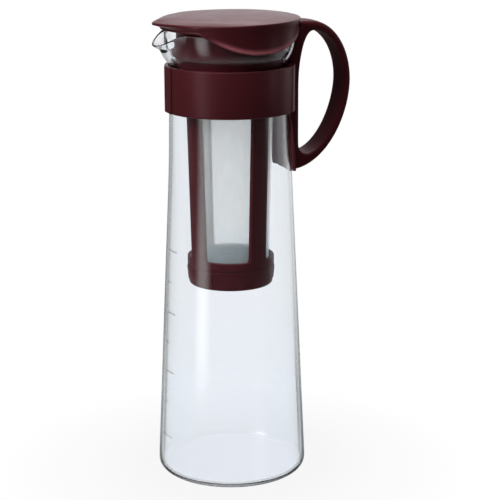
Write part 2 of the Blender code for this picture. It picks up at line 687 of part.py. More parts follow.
def make_lid():
    """One moulding: a crowned plate, a lobed skirt outside the glass and a plug inside the collar."""
    plug_radius = COLLAR_BORE - FIT
    plug_bore = plug_radius - PLUG_WALL
    seat_z = COLLAR_TOP_Z + FIT
    plug_low = COLLAR_TOP_Z - PLUG_DEPTH
    plug_taper = 0.5 * PLUG_WALL
    skin_z = LID_EDGE_Z - LID_SKIN
    lip = 0.5 * (SKIRT_WALL - SKIRT_TAPER)
    edge_middle = ROUND_MIDDLE_SHARE * LID_EDGE_ROUND
    angles = turn_angles(LID_STEPS, BEAK_CROWDING)

    def crown(share):
        return LID_EDGE_Z + LID_CROWN * (1 - share ** CROWN_POWER)

    def sloped(radius, angle, z):
        return polar(radius, angle, z + LID_SLOPE * radius * math.cos(angle))

    rings = [[Vector((0, 0, crown(0)))]]
    for share in CROWN_SHARES:
        rings.append([sloped(share * (LID_RADIUS + lid_reach(a)), a, crown(share)) for a in angles])
    for inset, drop in ((LID_EDGE_ROUND, 0), (edge_middle, edge_middle), (0, LID_EDGE_ROUND)):
        rings.append([sloped(LID_RADIUS + lid_reach(a) - inset, a, LID_EDGE_Z - drop) for a in angles])
    rings.append([polar(LID_RADIUS + lid_reach(a), a, LID_UNDERSIDE_Z) for a in angles])
    rings.append([polar(SKIRT_RADIUS, a, LID_UNDERSIDE_Z) for a in angles])
    lower = SKIRT_RADIUS - SKIRT_TAPER
    rings.append([polar(lower, a, LID_UNDERSIDE_Z - skirt_depth(a) + 0.5 * SKIRT_LEAST) for a in angles])
    rings.append([polar(lower - lip, a, LID_UNDERSIDE_Z - skirt_depth(a)) for a in angles])
    rings.append([polar(SKIRT_BORE, a, LID_UNDERSIDE_Z - skirt_depth(a) + 0.5 * SKIRT_LEAST) for a in angles])
    rings.append([sloped(SKIRT_BORE, a, skin_z) for a in angles])
    rings.append([sloped(COLLAR_RADIUS, a, skin_z) for a in angles])
    inner_outline = [
        (COLLAR_RADIUS, seat_z),
        (plug_radius, seat_z),
        (plug_radius, plug_low + PLUG_WALL),
        (plug_radius - plug_taper, plug_low),
        (plug_bore, plug_low),
    ]
    for radius, z in inner_outline:
        rings.append([polar(radius, a, z) for a in angles])
    rings.append([sloped(plug_bore, a, skin_z) for a in angles])
    rings.append([Vector((0, 0, crown(0) - LID_SKIN))])
    piece = skin_rings("lid", rings)
    brown_plastic(piece)
    return piece


# Handle

def quarter(centre, across, up, power, steps):
    """Points of a quarter of a superellipse, from its upright end round to its level end."""
    points = []
    for turn in steps_between(0, 0.5 * math.pi, steps):
        x = centre[0] + across * math.sin(turn) ** (2 / power)
        z = centre[1] + up * max(math.cos(turn), 0) ** (2 / power)
        points.append((x, z))
    return points


def handle_outlines():
    """Matching points of the handle's outside and of its finger opening, clockwise from the top."""
    reach = HANDLE_FAR_X - SPINE_FACE_X
    height = HANDLE_TOP_Z - HANDLE_BOTTOM_Z
    wide_z = HANDLE_BOTTOM_Z + GRIP_WIDEST_SHARE * height
    back_x = NECK_RADIUS - CONE_TOP_EXTRA - BAND_WALL - OVERRUN
    inner_far = HANDLE_FAR_X - GRIP_THICKNESS
    inner_top = HANDLE_TOP_Z - GRIP_TOP_THICKNESS
    inner_low = HANDLE_BOTTOM_Z + GRIP_BOTTOM_THICKNESS
    crest = (SPINE_FACE_X + TOP_CREST_SHARE * reach, wide_z)
    opening_crest = (SPINE_FACE_X + OPENING_CREST_SHARE * reach, wide_z)
    foot = (BAND_BORE, wide_z)
    opening_foot = (SPINE_FACE_X + OPENING_FOOT_SHARE * reach, wide_z)

    outside = quarter(crest, HANDLE_FAR_X - crest[0], HANDLE_TOP_Z - wide_z, 2, TOP_STEPS)
    inside = quarter(opening_crest, inner_far - opening_crest[0], inner_top - wide_z, 2, TOP_STEPS)
    across = HANDLE_FAR_X - foot[0]
    falling = quarter(foot, across, HANDLE_BOTTOM_Z - wide_z, GRIP_LOWER_POWER, LOWER_STEPS)
    outside += falling[-2::-1]
    across = inner_far - opening_foot[0]
    falling = quarter(opening_foot, across, inner_low - wide_z, OPENING_LOWER_POWER, LOWER_STEPS)
    inside += falling[-2::-1]

    turn_z = inner_low + OPENING_FOOT_ROUND
    turn_centre = (opening_foot[0], turn_z)
    corner = quarter(turn_centre, SPINE_FACE_X - turn_centre[0], inner_low - turn_z, 2, FOOT_STEPS)
    inside += corner[1:]
    outside += [(0.5 * (foot[0] + back_x), HANDLE_BOTTOM_Z), (back_x, HANDLE_BOTTOM_Z)]
    outside += [(back_x, 0.5 * (HANDLE_BOTTOM_Z + turn_z)), (back_x, turn_z)]

    rise = wide_z - turn_z
    inside += [(SPINE_FACE_X, turn_z + share * rise) for share in LOWER_SPINE_SHARES]
    outside += [(back_x, turn_z + share * rise) for share in LOWER_SPINE_SHARES]

    across = SPINE_FACE_X - opening_crest[0]
    corner = quarter(opening_crest, across, inner_top - wide_z, 2, SHOULDER_STEPS)
    inside += corner[-2:0:-1]
    top_rise = HANDLE_TOP_Z - wide_z
    outside += [(back_x, wide_z + share * top_rise) for share in UPPER_SPINE_SHARES]
    run = crest[0] - back_x
    outside += [(back_x + share * run, HANDLE_TOP_Z) for share in TOP_RUN_SHARES]
    return outside, inside


def make_grip_ring():
    """The D-shaped ring of the handle, its section crowned on both faces and rounded at the sides."""
    outside, inside = handle_outlines()
    half_width = 0.5 * HANDLE_WIDTH
    rings = []
    for outer, inner in zip(outside, inside):
        middle = Vector((0.5 * (outer[0] + inner[0]), 0, 0.5 * (outer[1] + inner[1])))
        half = Vector((0.5 * (outer[0] - inner[0]), 0, 0.5 * (outer[1] - inner[1])))
        ring = []
        for degrees in SECTION_TURNS:
            turn = math.radians(degrees)
            across = math.copysign(abs(math.cos(turn)) ** (2 / SECTION_POWER), math.cos(turn))
            through = math.copysign(abs(math.sin(turn)) ** (2 / SECTION_POWER), math.sin(turn))
            if degrees in (0, 180):
                through = 0
            if degrees in (90, 270):
                across = 0
            ring.append(middle + half * through + Vector((0, half_width * across, 0)))
        rings.append(ring)
    return skin_rings("handle", rings, closed_path=True)


def make_plate():
    """The curved plate under the band, with round lower corners and fillets up into the saddle."""
    low = HANDLE_BOTTOM_Z + PLATE_END_MARGIN
    low_radius = glass_radius(low) + FIT + PLATE_WALL
    inner = THROAT_RADIUS - BAND_WALL
    rows = corner_rows(low, 1, PLATE_CORNER)
    for z, inset in reversed(corner_rows(BAND_BOTTOM_Z, -1, PLATE_FILLET)):
        rows.append((z, -inset))
    rows.append((BAND_BOTTOM_Z + OVERRUN, -PLATE_FILLET))
    rings = []
    for z, inset in rows:
        share = min((z - low) / (BAND_BOTTOM_Z - low), 1)
        radius = low_radius + (BAND_RADIUS - low_radius) * share
        half = PLATE_HALF_ANGLE - inset / radius
        turns = steps_between(-half, half, PLATE_STEPS)
        ring = [polar(radius, turn, z) for turn in turns]
        ring += [polar(inner, turn, z) for turn in reversed(turns)]
        rings.append(ring)
    return skin_rings("plate", rings)


def make_saddle():
    """The part of the band that belongs to the handle, between the ends of the two halves."""
    outer = BAND_RADIUS - BAND_EDGE
    outline = [
        (BAND_BORE, BAND_BOTTOM_Z),
        *rounded_corner((outer, BAND_BOTTOM_Z + BAND_EDGE), BAND_EDGE, -0.5 * math.pi, 0, EDGE_STEPS),
        *rounded_corner((outer, BAND_TOP_Z - BAND_EDGE), BAND_EDGE, 0, 0.5 * math.pi, EDGE_STEPS),
        (BAND_BORE, BAND_TOP_Z),
    ]
    half = SADDLE_HALF_ANGLE - FIT / BAND_RADIUS
    return revolve_arc("saddle", outline, -half, half, SADDLE_STEPS)


def glass_clearance():
    """The space that the glass and the lid take, with a small gap, as a cutter."""
    low = min(HANDLE_BOTTOM_Z, CONE_HEIGHT) - OVERRUN
    above = HANDLE_TOP_Z + OVERRUN
    lid_bore = LID_RADIUS + HANDLE_LID_GAP
    outline = [(glass_radius(z) + FIT, z) for z in wall_heights(low, RIM_Z)]
    outline += [(RIM_RADIUS + FIT, RIM_Z + FIT), (lid_bore, RIM_Z + FIT), (lid_bore, above)]
    rings = [[Vector((0, 0, low))]]
    for radius, z in outline:
        rings.append([polar(radius, angle, z) for angle in turn_angles(GLASS_STEPS)])
    rings.append([Vector((0, 0, above))])
    return skin_rings("glass_clearance", rings)


def band_clearance(side):
    """The space that the tongue of one band half takes under the saddle, as a cutter."""
    outline = [
        (BAND_BORE - OVERRUN, BAND_BOTTOM_Z - FIT),
        (TONGUE_RADIUS + FIT, BAND_BOTTOM_Z - FIT),
        (TONGUE_RADIUS + FIT, BAND_TOP_Z + FIT),
        (BAND_BORE - OVERRUN, BAND_TOP_Z + FIT),
    ]
    start = SADDLE_HALF_ANGLE - (TONGUE_LENGTH + FIT) / BAND_BORE
    end = SADDLE_HALF_ANGLE + OVERRUN / BAND_BORE
    return revolve_arc("band_clearance", outline, side * start, side * end, TONGUE_STEPS)


def make_handle():
    """One moulding: the grip ring, the saddle behind the band and the plate that runs down the glass."""
    piece = make_grip_ring()
    combine(piece, make_plate(), "UNION")
    combine(piece, make_saddle(), "UNION")
    combine(piece, glass_clearance(), "DIFFERENCE")
    for side in (-1, 1):
        combine(piece, band_clearance(side), "DIFFERENCE")
    brown_plastic(piece)
    return piece


clear_scene()
make_glass_carafe()
make_band_half("neck_band_left", -1)
make_band_half("neck_band_right", 1)
make_band_clip()
make_handle()
make_strainer_frame()
make_mesh_sleeve()
make_strainer_cap()
make_lid()
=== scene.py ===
import math

import bmesh
import bpy
from mathutils import Matrix, Vector


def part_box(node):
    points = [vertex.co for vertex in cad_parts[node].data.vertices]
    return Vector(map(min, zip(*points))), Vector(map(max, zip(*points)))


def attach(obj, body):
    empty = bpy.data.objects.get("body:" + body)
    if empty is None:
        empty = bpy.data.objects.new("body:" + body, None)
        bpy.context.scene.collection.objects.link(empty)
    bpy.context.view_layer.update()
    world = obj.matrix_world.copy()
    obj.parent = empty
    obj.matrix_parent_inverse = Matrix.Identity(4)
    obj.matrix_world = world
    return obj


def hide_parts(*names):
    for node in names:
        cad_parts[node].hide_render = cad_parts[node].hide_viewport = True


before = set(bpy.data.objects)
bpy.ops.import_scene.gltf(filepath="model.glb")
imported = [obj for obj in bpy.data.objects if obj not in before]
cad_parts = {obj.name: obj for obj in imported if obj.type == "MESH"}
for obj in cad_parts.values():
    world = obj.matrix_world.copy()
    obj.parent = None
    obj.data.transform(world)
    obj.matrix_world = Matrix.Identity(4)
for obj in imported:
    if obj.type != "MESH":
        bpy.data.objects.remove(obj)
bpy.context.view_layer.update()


# Glass carafe
# Blown borosilicate glass with a rounded heel, a straight taper, a pinched neck and a flared mouth.
# The spout is pressed out of the hot rim, so the two millimetre wall keeps its thickness there.

mm = 0.001
glass_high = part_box("glass_carafe")[1]
base_radius = glass_high.y
rim_z = glass_high.z
glass_columns = 120
spout_crowding = 0.35
glass_wall = 2.0 * mm
heel_round = 6.0 * mm
floor_thickness = 3.2 * mm
floor_round = 3.5 * mm
cone_top_z = rim_z - 92.0 * mm
cone_top_radius = base_radius - 9.2 * mm
throat_z = rim_z - 24.0 * mm
throat_radius = cone_top_radius - 3.6 * mm
rim_radius = throat_radius + 6.2 * mm
neck_rises = ((18, -0.5), (36, -0.72), (46, -1.05), (54, -1.8), (60, -2.75), (64.5, -3.4))
mouth_rises = ((0.2, 0), (3, 0.55), (5.7, 2.0), (8.5, 3.5), (12, 4.7), (16, 5.45), (20, 5.95))
cone_heights = (14, 60, 125, 180)
spout_half_angle = math.radians(25)
lip_half_angle = math.radians(34)
channel_depth = 4.1 * mm
lip_reach = 4.2 * mm
lip_dip = 7.6 * mm
dip_half_angle = math.radians(31)
reach_power = 1.15
dip_power = 1.2
spread_rise = (0.4, 1)
channel_rise = (-0.25, 0.4)
lip_rise = (0.5, 1)
dip_rise = (0.25, 1)
wave_depth = 0.3 * mm
merge_distance = 0.01 * mm


def deselect_all():
    if bpy.context.object and bpy.context.object.mode == "EDIT":
        bpy.ops.object.mode_set(mode="OBJECT")
    bpy.ops.object.select_all(action="DESELECT")


def work_on(piece):
    """Makes the piece the only selected and the active one."""
    deselect_all()
    piece.select_set(True)
    bpy.context.view_layer.objects.active = piece


def pick(kind, test):
    """Selects the VERT, EDGE or FACE elements whose middle and element pass the test, in edit mode."""
    bpy.ops.mesh.select_mode(type=kind)
    bpy.ops.mesh.select_all(action="DESELECT")
    cage = bmesh.from_edit_mesh(bpy.context.object.data)
    if kind == "VERT":
        for vertex in cage.verts:
            vertex.select_set(bool(test(vertex.co, vertex)))
    else:
        for element in (cage.edges if kind == "EDGE" else cage.faces):
            middle = sum((vertex.co for vertex in element.verts), Vector()) / len(element.verts)
            element.select_set(bool(test(middle, element)))
    cage.select_flush_mode()
    bmesh.update_edit_mesh(bpy.context.object.data)


def select_whole():
    bpy.ops.mesh.select_all(action="SELECT")


def open_new(name):
    """Names the shape just added and opens it for editing."""
    piece = bpy.context.object
    piece.name = piece.data.name = name
    bpy.ops.object.mode_set(mode="EDIT")
    return piece


def start_circle(name, z, radius, columns, fill):
    deselect_all()
    bpy.ops.mesh.primitive_circle_add(vertices=columns, radius=radius, fill_type=fill, location=(0, 0, z))
    bpy.ops.object.transform_apply(location=True, rotation=False, scale=False)
    return open_new(name)


def start_disc(name, z, radius, columns):
    """A round disc, in edit mode with its edge selected."""
    piece = start_circle(name, z, radius, columns, "TRIFAN")
    pick("VERT", lambda place, vertex: place.xy.length > 0.5 * radius)
    return piece


def start_ring(name, z, radius, columns):
    """An open ring, in edit mode with all of it selected."""
    piece = start_circle(name, z, radius, columns, "NOTHING")
    bpy.ops.mesh.select_mode(type="VERT")
    select_whole()
    return piece


def carry_ring(start, stations):
    """Extrudes the selected ring from its (height, radius) start on through more stations."""
    z, radius = start
    for next_z, next_radius in stations:
        bpy.ops.mesh.extrude_edges_move(TRANSFORM_OT_translate={"value": (0, 0, next_z - z)})
        ratio = next_radius / radius
        bpy.ops.transform.resize(value=(ratio, ratio, 1), center_override=(0, 0, next_z))
        z, radius = next_z, next_radius


def close_with_pole():
    bpy.ops.mesh.edge_face_add()
    bpy.ops.mesh.poke()


def merge_doubles():
    select_whole()
    bpy.ops.mesh.remove_doubles(threshold=merge_distance)


def face_outwards():
    select_whole()
    bpy.ops.mesh.normals_make_consistent(inside=False)


def close_mesh():
    """Leaves edit mode with doubles merged and every face outwards."""
    merge_doubles()
    face_outwards()
    bpy.ops.object.mode_set(mode="OBJECT")


def angle_of(place):
    return math.atan2(place.y, place.x)


def polar(radius, angle, z):
    return Vector((radius * math.cos(angle), radius * math.sin(angle), z))


def smooth_out(piece, levels=1):
    """Subdivides a finished cage and keeps the result."""
    work_on(piece)
    modifier = piece.modifiers.new("subdivision", "SUBSURF")
    modifier.levels = modifier.render_levels = levels
    bpy.ops.object.modifier_apply(modifier=modifier.name)


def arc(centre_z, centre_radius, size, start, end, steps):
    """(height, radius) points of an arc, angles in degrees from straight out towards straight up."""
    points = []
    for step in range(steps + 1):
        angle = math.radians(start + (end - start) * step / steps)
        points.append((centre_z + size * math.sin(angle), centre_radius + size * math.cos(angle)))
    return points


def set_in(outline, depth):
    """The outline moved inwards by a depth, square to itself, without its two end points."""
    inner = []
    for before, point, after in zip(outline, outline[1:], outline[2:]):
        along = Vector((after[0] - before[0], after[1] - before[1])).normalized()
        inner.append((point[0] + depth * along.y, point[1] - depth * along.x))
    return inner


def cone_radius(z):
    share = (z - heel_round) / (cone_top_z - heel_round)
    return base_radius + (cone_top_radius - base_radius) * share


def press_spout(place):
    """Where a point of the round mouth goes as the spout is pressed out and its lip curled down."""
    angle = angle_of(place)
    away = math.pi - abs(angle)
    rise = (place.z - throat_z) / (rim_z - throat_z)

    def grown(span):
        """How far something has grown here that grows over a span of the mouth's height."""
        share = min(max((rise - span[0]) / (span[1] - span[0]), 0), 1)
        return share * share * (3 - 2 * share)

    def swell(half_angle, power):
        return math.cos(0.5 * math.pi * min(away / half_angle, 1) ** power) ** 2

    spread = spout_half_angle + (lip_half_angle - spout_half_angle) * grown(spread_rise)
    reach = channel_depth * grown(channel_rise) + lip_reach * grown(lip_rise) ** 2
    dip = lip_dip * grown(dip_rise) ** 2
    radius = place.xy.length + reach * swell(spread, reach_power)
    return polar(radius, angle, place.z - dip * swell(dip_half_angle, dip_power))


def node_material(name):
    """A material with an empty shader to set, as (material, tree, shader)."""
    material = bpy.data.materials.new(name)
    material.use_nodes = True
    tree = material.node_tree
    return material, tree, tree.nodes["Principled BSDF"]


def feed(tree, socket, value):
    """Links an output to a socket, or sets the socket to a plain value."""
    if isinstance(value, bpy.types.NodeSocket):
        tree.links.new(value, socket)
    else:
        socket.default_value = value


def show(tree, surface):
    """Makes a shader the material's surface."""
    tree.links.new(surface, tree.nodes["Material Output"].inputs["Surface"])


def work_out(tree, operation, *values):
    """The result of a sum, product or comparison of values."""
    node = tree.nodes.new("ShaderNodeMath")
    node.operation = operation
    for socket, value in zip(node.inputs, values):
        feed(tree, socket, value)
    return node.outputs["Value"]


def carry_over(tree, value, start, end, least=0, most=1, interpolation="LINEAR"):
    """The value carried over from start and end to least and most, and held between them."""
    node = tree.nodes.new("ShaderNodeMapRange")
    node.interpolation_type = interpolation
    names = ("Value", "From Min", "From Max", "To Min", "To Max")
    for name, setting in zip(names, (value, start, end, least, most)):
        feed(tree, node.inputs[name], setting)
    return node.outputs["Result"]


def ramp(tree, value, *stops):
    """The colour for a value, from (position, colour) stops."""
    node = tree.nodes.new("ShaderNodeValToRGB")
    elements = node.color_ramp.elements
    for position, colour in stops[1:-1]:
        elements.new(position)
    for element, (position, colour) in zip(elements, stops):
        element.position = position
        element.color = (*colour, 1)
    feed(tree, node.inputs["Fac"], value)
    return node.outputs["Color"]


def mix_colours(tree, share, first, second):
    node = tree.nodes.new("ShaderNodeMix")
    node.data_type = "RGBA"
    for name, value in zip(("Factor", "A", "B"), (share, first, second)):
        feed(tree, node.inputs[name], value)
    return node.outputs["Result"]


def mix_shaders(tree, share, first, second):
    node = tree.nodes.new("ShaderNodeMixShader")
    for socket, value in zip(node.inputs, (share, first, second)):
        feed(tree, socket, value)
    return node.outputs["Shader"]


def coordinates(tree, kind="Object"):
    return tree.nodes.new("ShaderNodeTexCoord").outputs[kind]


def upward_part(tree, vector):
    node = tree.nodes.new("ShaderNodeSeparateXYZ")
    tree.links.new(vector, node.inputs["Vector"])
    return node.outputs["Z"]


def object_noise(tree, scale, detail=3.0, stretch=(1, 1, 1)):
    """Noise on the piece's own coordinates, in features per metre."""
    mapping = tree.nodes.new("ShaderNodeMapping")
    mapping.inputs["Scale"].default_value = stretch
    noise = tree.nodes.new("ShaderNodeTexNoise")
    noise.inputs["Scale"].default_value = scale
    noise.inputs["Detail"].default_value = detail
    tree.links.new(coordinates(tree), mapping.inputs["Vector"])
    tree.links.new(mapping.outputs["Vector"], noise.inputs["Vector"])
    return noise.outputs["Fac"]


def vary(tree, noise, low, high, socket):
    """Drives a socket from low to high with a noise."""
    tree.links.new(carry_over(tree, noise, 0.3, 0.7, low, high), socket)


def roughen(tree, height, strength, depth, socket):
    """Turns a height pattern into relief of the given depth."""
    bump = tree.nodes.new("ShaderNodeBump")
    bump.inputs["Strength"].default_value = strength
    bump.inputs["Distance"].default_value = depth
    tree.links.new(height, bump.inputs["Height"])
    tree.links.new(bump.outputs["Normal"], socket)


def assemble(piece, material, body, slot, *replaced):
    """Shades a finished piece, gives it its finish and puts it on the body that it moves with."""
    work_on(piece)
    bpy.ops.object.shade_smooth_by_angle(angle=math.radians(40))
    piece.data.materials.clear()
    piece.data.materials.append(material)
    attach(piece, body)
    if replaced:
        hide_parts(*replaced)


def clear_glass():
    """Polished glass, faintly blue and a little darker towards the bottom, with painted dark shade where the
    wall is seen edge on. Lamps shine through it.
    """
    material, tree, shader = node_material("clear_glass")
    shader.inputs["Transmission Weight"].default_value = 1.0
    shader.inputs["IOR"].default_value = 1.47
    facing = tree.nodes.new("ShaderNodeLayerWeight")
    facing.inputs["Blend"].default_value = 0.5
    levelness = work_out(tree, "ABSOLUTE", upward_part(tree, coordinates(tree, "Normal")))
    on_wall = work_out(tree, "MULTIPLY", facing.outputs["Facing"], carry_over(tree, levelness, 0.9, 0.3))
    # Painted shade: the tint turns dark grey-green where the wall is seen edge on, standing in for dark
    # surroundings seen in the glass; lower down the tint is a little darker and the dark edge is wider.
    upper_tint_and_edge_shade = ramp(
        tree,
        on_wall,
        (0.0, (0.955, 0.970, 1.0)),
        (0.50, (0.940, 0.965, 0.985)),
        (0.80, (0.93, 0.965, 0.975)),
        (0.90, (0.20, 0.25, 0.26)),
    )
    lower_tint_and_edge_shade = ramp(
        tree,
        on_wall,
        (0.0, (0.945, 0.960, 0.997)),
        (0.30, (0.915, 0.948, 0.982)),
        (0.72, (0.90, 0.945, 0.968)),
        (0.78, (0.08, 0.11, 0.12)),
    )
    height = upward_part(tree, coordinates(tree))
    lowness = carry_over(tree, height, 0.62 * cone_top_z, 0.25 * cone_top_z)
    feed(tree, shader.inputs["Base Color"], mix_colours(tree, lowness, upper_tint_and_edge_shade, lower_tint_and_edge_shade))
    vary(tree, object_noise(tree, 45, stretch=(1, 1, 0.4)), 0.0, 0.02, shader.inputs["Roughness"])
    waves = object_noise(tree, 14, detail=1.0, stretch=(1, 1, 0.35))
    roughen(tree, waves, 0.07, wave_depth, shader.inputs["Normal"])
    in_shadow = tree.nodes.new("ShaderNodeLightPath").outputs["Is Shadow Ray"]
    open_way = tree.nodes.new("ShaderNodeBsdfTransparent")
    open_way.inputs["Color"].default_value = (0.93, 0.95, 0.96, 1)
    show(tree, mix_shaders(tree, in_shadow, shader.outputs["BSDF"], open_way.outputs["BSDF"]))
    return material


heel = arc(heel_round, base_radius - heel_round, heel_round, -90, 0, 5)
cone = [(z, cone_radius(z)) for z in [height * mm for height in cone_heights]]
neck = [(cone_top_z, cone_top_radius)]
neck += [(cone_top_z + rise * mm, cone_top_radius + out * mm) for rise, out in neck_rises]
mouth = [(throat_z + rise * mm, throat_radius + out * mm) for rise, out in mouth_rises]
rim = arc(rim_z - 0.5 * glass_wall, rim_radius - 0.5 * glass_wall, 0.5 * glass_wall, 0, 180, 4)
outside = heel + cone + neck + mouth
inside = set_in([(0, base_radius)] + cone + neck + mouth + [rim[0]], glass_wall)[::-1]
floor_edge = inside[-1][1] - floor_round
inner_floor = arc(floor_thickness + floor_round, floor_edge, floor_round, 0, -90, 4)
inner_floor += [(floor_thickness, 0.7 * floor_edge), (floor_thickness, 0.3 * floor_edge)]

base_disc = (0, 0.8 * heel[0][1])
carafe = start_disc("carafe_glass", *base_disc, glass_columns)
carafe_cage = bmesh.from_edit_mesh(carafe.data)
for vertex in carafe_cage.verts:
    angle = angle_of(vertex.co)
    angle += spout_crowding * math.sin(angle)
    vertex.co = polar(vertex.co.xy.length, angle, vertex.co.z)
bmesh.update_edit_mesh(carafe.data)
carry_ring(base_disc, outside + rim + inside + inner_floor)
close_with_pole()
close_mesh()
for vertex in carafe.data.vertices:
    vertex.co = press_spout(vertex.co)
smooth_out(carafe)
assemble(carafe, clear_glass(), "carafe", "clear_glass", "glass_carafe")


# Volume marks
# Fine strokes of fired-on enamel up the spout side of the glass, long and short by turns and a tenth
# of a millimetre thick. They carry no words.

long_mark_heights = (28, 72, 111.5, 152.5)
short_mark_heights = (50.5, 91, 131)
long_mark_turn = math.radians(17)
short_mark_turn = math.radians(8)
mark_height = 0.6 * mm
mark_thickness = 0.10 * mm
mark_start = math.radians(178)


def enamel(name):
    """Grey fired enamel, a little speckled where the glass shows through the print."""
    material, tree, shader = node_material(name)
    grain = object_noise(tree, 3000)
    colour = ramp(tree, grain, (0, (0.34, 0.36, 0.37)), (1, (0.52, 0.54, 0.55)))
    feed(tree, shader.inputs["Base Color"], colour)
    vary(tree, grain, 0.35, 0.55, shader.inputs["Roughness"])
    return material


def print_marks(name, heights, turn):
    """Strokes of one length: small upright faces spun about the glass, clockwise from their far end."""
    deselect_all()
    bpy.ops.mesh.primitive_plane_add(size=1)
    marks = open_new(name)
    bpy.ops.mesh.delete(type="VERT")
    for height in heights:
        z = height * mm
        radius = cone_radius(z) + 0.3 * mark_thickness
        bpy.ops.mesh.primitive_plane_add(size=1, location=(radius, 0, z), rotation=(0.5 * math.pi, 0, 0))
        bpy.ops.transform.resize(value=(mark_thickness, 1, mark_height), center_override=(radius, 0, z))
        steps = max(2, round(math.degrees(turn)))
        bpy.ops.mesh.spin(steps=steps, angle=turn, center=(0, 0, 0), axis=(0, 0, 1))
    close_mesh()
    marks.rotation_euler.z = mark_start + turn
    bpy.ops.object.transform_apply(location=False, rotation=True, scale=False)
    return marks


long_marks = print_marks("long_marks", long_mark_heights, long_mark_turn)
assemble(long_marks, enamel("long_mark_enamel"), "carafe", "clear_glass")
short_marks = print_marks("short_marks", short_mark_heights, short_mark_turn)
assemble(short_marks, enamel("short_mark_enamel"), "carafe", "clear_glass")


# Neck band
# Two halves of glossy reddish brown polypropylene, moulded with a bead inside that grips the pinched
# neck. Their thinned ends slide under the front clip and under the handle's saddle.

band_low, band_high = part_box("neck_band_left")
band_bottom_z, band_top_z = band_low.z, band_high.z
band_height = band_top_z - band_bottom_z
band_radius = -band_low.y
band_bore = band_radius - 2.2 * mm
tongue_radius = band_bore + 0.9 * mm
bead_radius = throat_radius + 1.6 * mm
bead_z = band_bottom_z + 0.62 * band_height
bead_half = 1.1 * mm
band_edge_round = 0.7 * mm
band_columns = 144
clip_width = 12.2 * mm
web_width = 3.4 * mm
piece_gap = 0.3 * mm
saddle_half_angle = math.radians(39)
tongue_length = 4.0 * mm
skin_depth = 0.05 * mm
facing_least = 0.9
sharp_angle = 0.9
near = 0.1 * mm


def cut_through(angle, keep_side):
    """Cuts the mesh in edit mode on the plane through the axis at an angle, and caps the cut.
    A keep_side of 1 keeps what lies beyond the angle, -1 what lies before it, 0 keeps both."""
    select_whole()
    normal = (-math.sin(angle), math.cos(angle), 0)
    bpy.ops.mesh.bisect(
        plane_co=(0, 0, 0),
        plane_no=normal,
        use_fill=keep_side != 0,
        clear_inner=keep_side == 1,
        clear_outer=keep_side == -1,
    )


def level_way(place):
    """The level direction from the axis to a place."""
    return Vector((place.x, place.y, 0)).normalized()


def outwardness(middle, face):
    """How squarely a face looks away from the axis, up to 1."""
    return face.normal.dot(level_way(middle))


def round_edges(size, segments, clamp=True):
    bpy.ops.mesh.bevel(offset=size, segments=segments, profile=0.5, clamp_overlap=clamp)


def raise_faces(height, radius):
    """Extrudes the selected faces away from the axis, by a height for a point at the radius."""
    bpy.ops.mesh.extrude_region_move(TRANSFORM_OT_translate={"value": (0, 0, 0)})
    growth = 1 + height / radius
    bpy.ops.transform.resize(value=(growth, growth, 1), center_override=(0, 0, 0))


def brown_plastic(name, least_rough=0.40, most_rough=0.46, shine=0.35):
    """Glossy reddish brown polypropylene: faint flow shades, an uneven gloss and a fine moulded skin.
    Where a piece marks painted light in a point attribute, its colour is painted paler brown, standing in
    for a highlight or for light falling there."""
    material, tree, shader = node_material(name)
    flow = object_noise(tree, 22, detail=4.0)
    brown = ramp(tree, flow, (0.3, (0.064, 0.0095, 0.0124)), (0.7, (0.069, 0.0104, 0.0136)))
    # Painted light: this attribute paints the lid's lip and the handle plate's inner face paler brown.
    painted_light_node = tree.nodes.new("ShaderNodeAttribute")
    painted_light_node.attribute_name = "painted_light"
    shade = mix_colours(tree, painted_light_node.outputs["Fac"], brown, (0.34, 0.10, 0.12, 1))
    feed(tree, shader.inputs["Base Color"], shade)
    vary(tree, object_noise(tree, 90, detail=5.0), least_rough, most_rough, shader.inputs["Roughness"])
    shader.inputs["IOR"].default_value = 1.49
    shader.inputs["Specular IOR Level"].default_value = shine
    shader.inputs["Specular Tint"].default_value = (1.0, 0.42, 0.50, 1)
    shader.inputs["Coat Weight"].default_value = 0.3 * shine
    shader.inputs["Coat Roughness"].default_value = 0.2
    roughen(tree, object_noise(tree, 1400, detail=2.0), 0.12, skin_depth, shader.inputs["Normal"])
    return material


band_stations = [
    (band_bottom_z, tongue_radius),
    (band_top_z, tongue_radius),
    (band_top_z, band_bore),
    (bead_z + bead_half + band_bore - bead_radius, band_bore),
    (bead_z + bead_half, bead_radius),
    (bead_z - bead_half, bead_radius),
    (bead_z - bead_half - band_bore + bead_radius, band_bore),
    (band_bottom_z, band_bore),
]
band_half = start_ring("band_half_left", band_bottom_z, band_bore, band_columns)
carry_ring((band_bottom_z, band_bore), band_stations)
merge_doubles()
gap_angle = piece_gap / band_bore
clip_end = -math.pi + 0.5 * web_width / band_bore + gap_angle
clip_edge = -math.pi + 0.5 * clip_width / band_radius + gap_angle
saddle_end = -saddle_half_angle + tongue_length / band_bore
cut_through(clip_end, 1)
cut_through(saddle_end, -1)
cut_through(clip_edge, 0)
cut_through(-saddle_half_angle, 0)
face_outwards()


def shown_outside(middle, face):
    shown = clip_edge < angle_of(middle) < -saddle_half_angle
    return outwardness(middle, face) > facing_least and middle.xy.length > band_bore and shown


def outer_edge(middle, edge):
    return middle.xy.length > band_radius - near and edge.calc_face_angle(0) > sharp_angle


pick("FACE", shown_outside)
raise_faces(band_radius - tongue_radius, tongue_radius)
pick("EDGE", outer_edge)
round_edges(band_edge_round, 3)
close_mesh()
work_on(band_half)
bpy.ops.object.duplicate()
other_half = open_new("band_half_right")
select_whole()
bpy.ops.transform.resize(value=(1, -1, 1), center_override=(0, 0, 0))
close_mesh()
assemble(band_half, brown_plastic("band_plastic_left"), "carafe", "brown_plastic", "neck_band_left")
assemble(other_half, brown_plastic("band_plastic_right"), "carafe", "brown_plastic", "neck_band_right")


# Band clip
# A flat-faced strip of the same plastic under the spout. It is pushed over the two thinned ends and
# its web fills the gap between them.

clip_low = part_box("band_clip")[0]
clip_edge_round = 0.7 * mm
clip_depth = -tongue_radius - piece_gap - clip_low.x

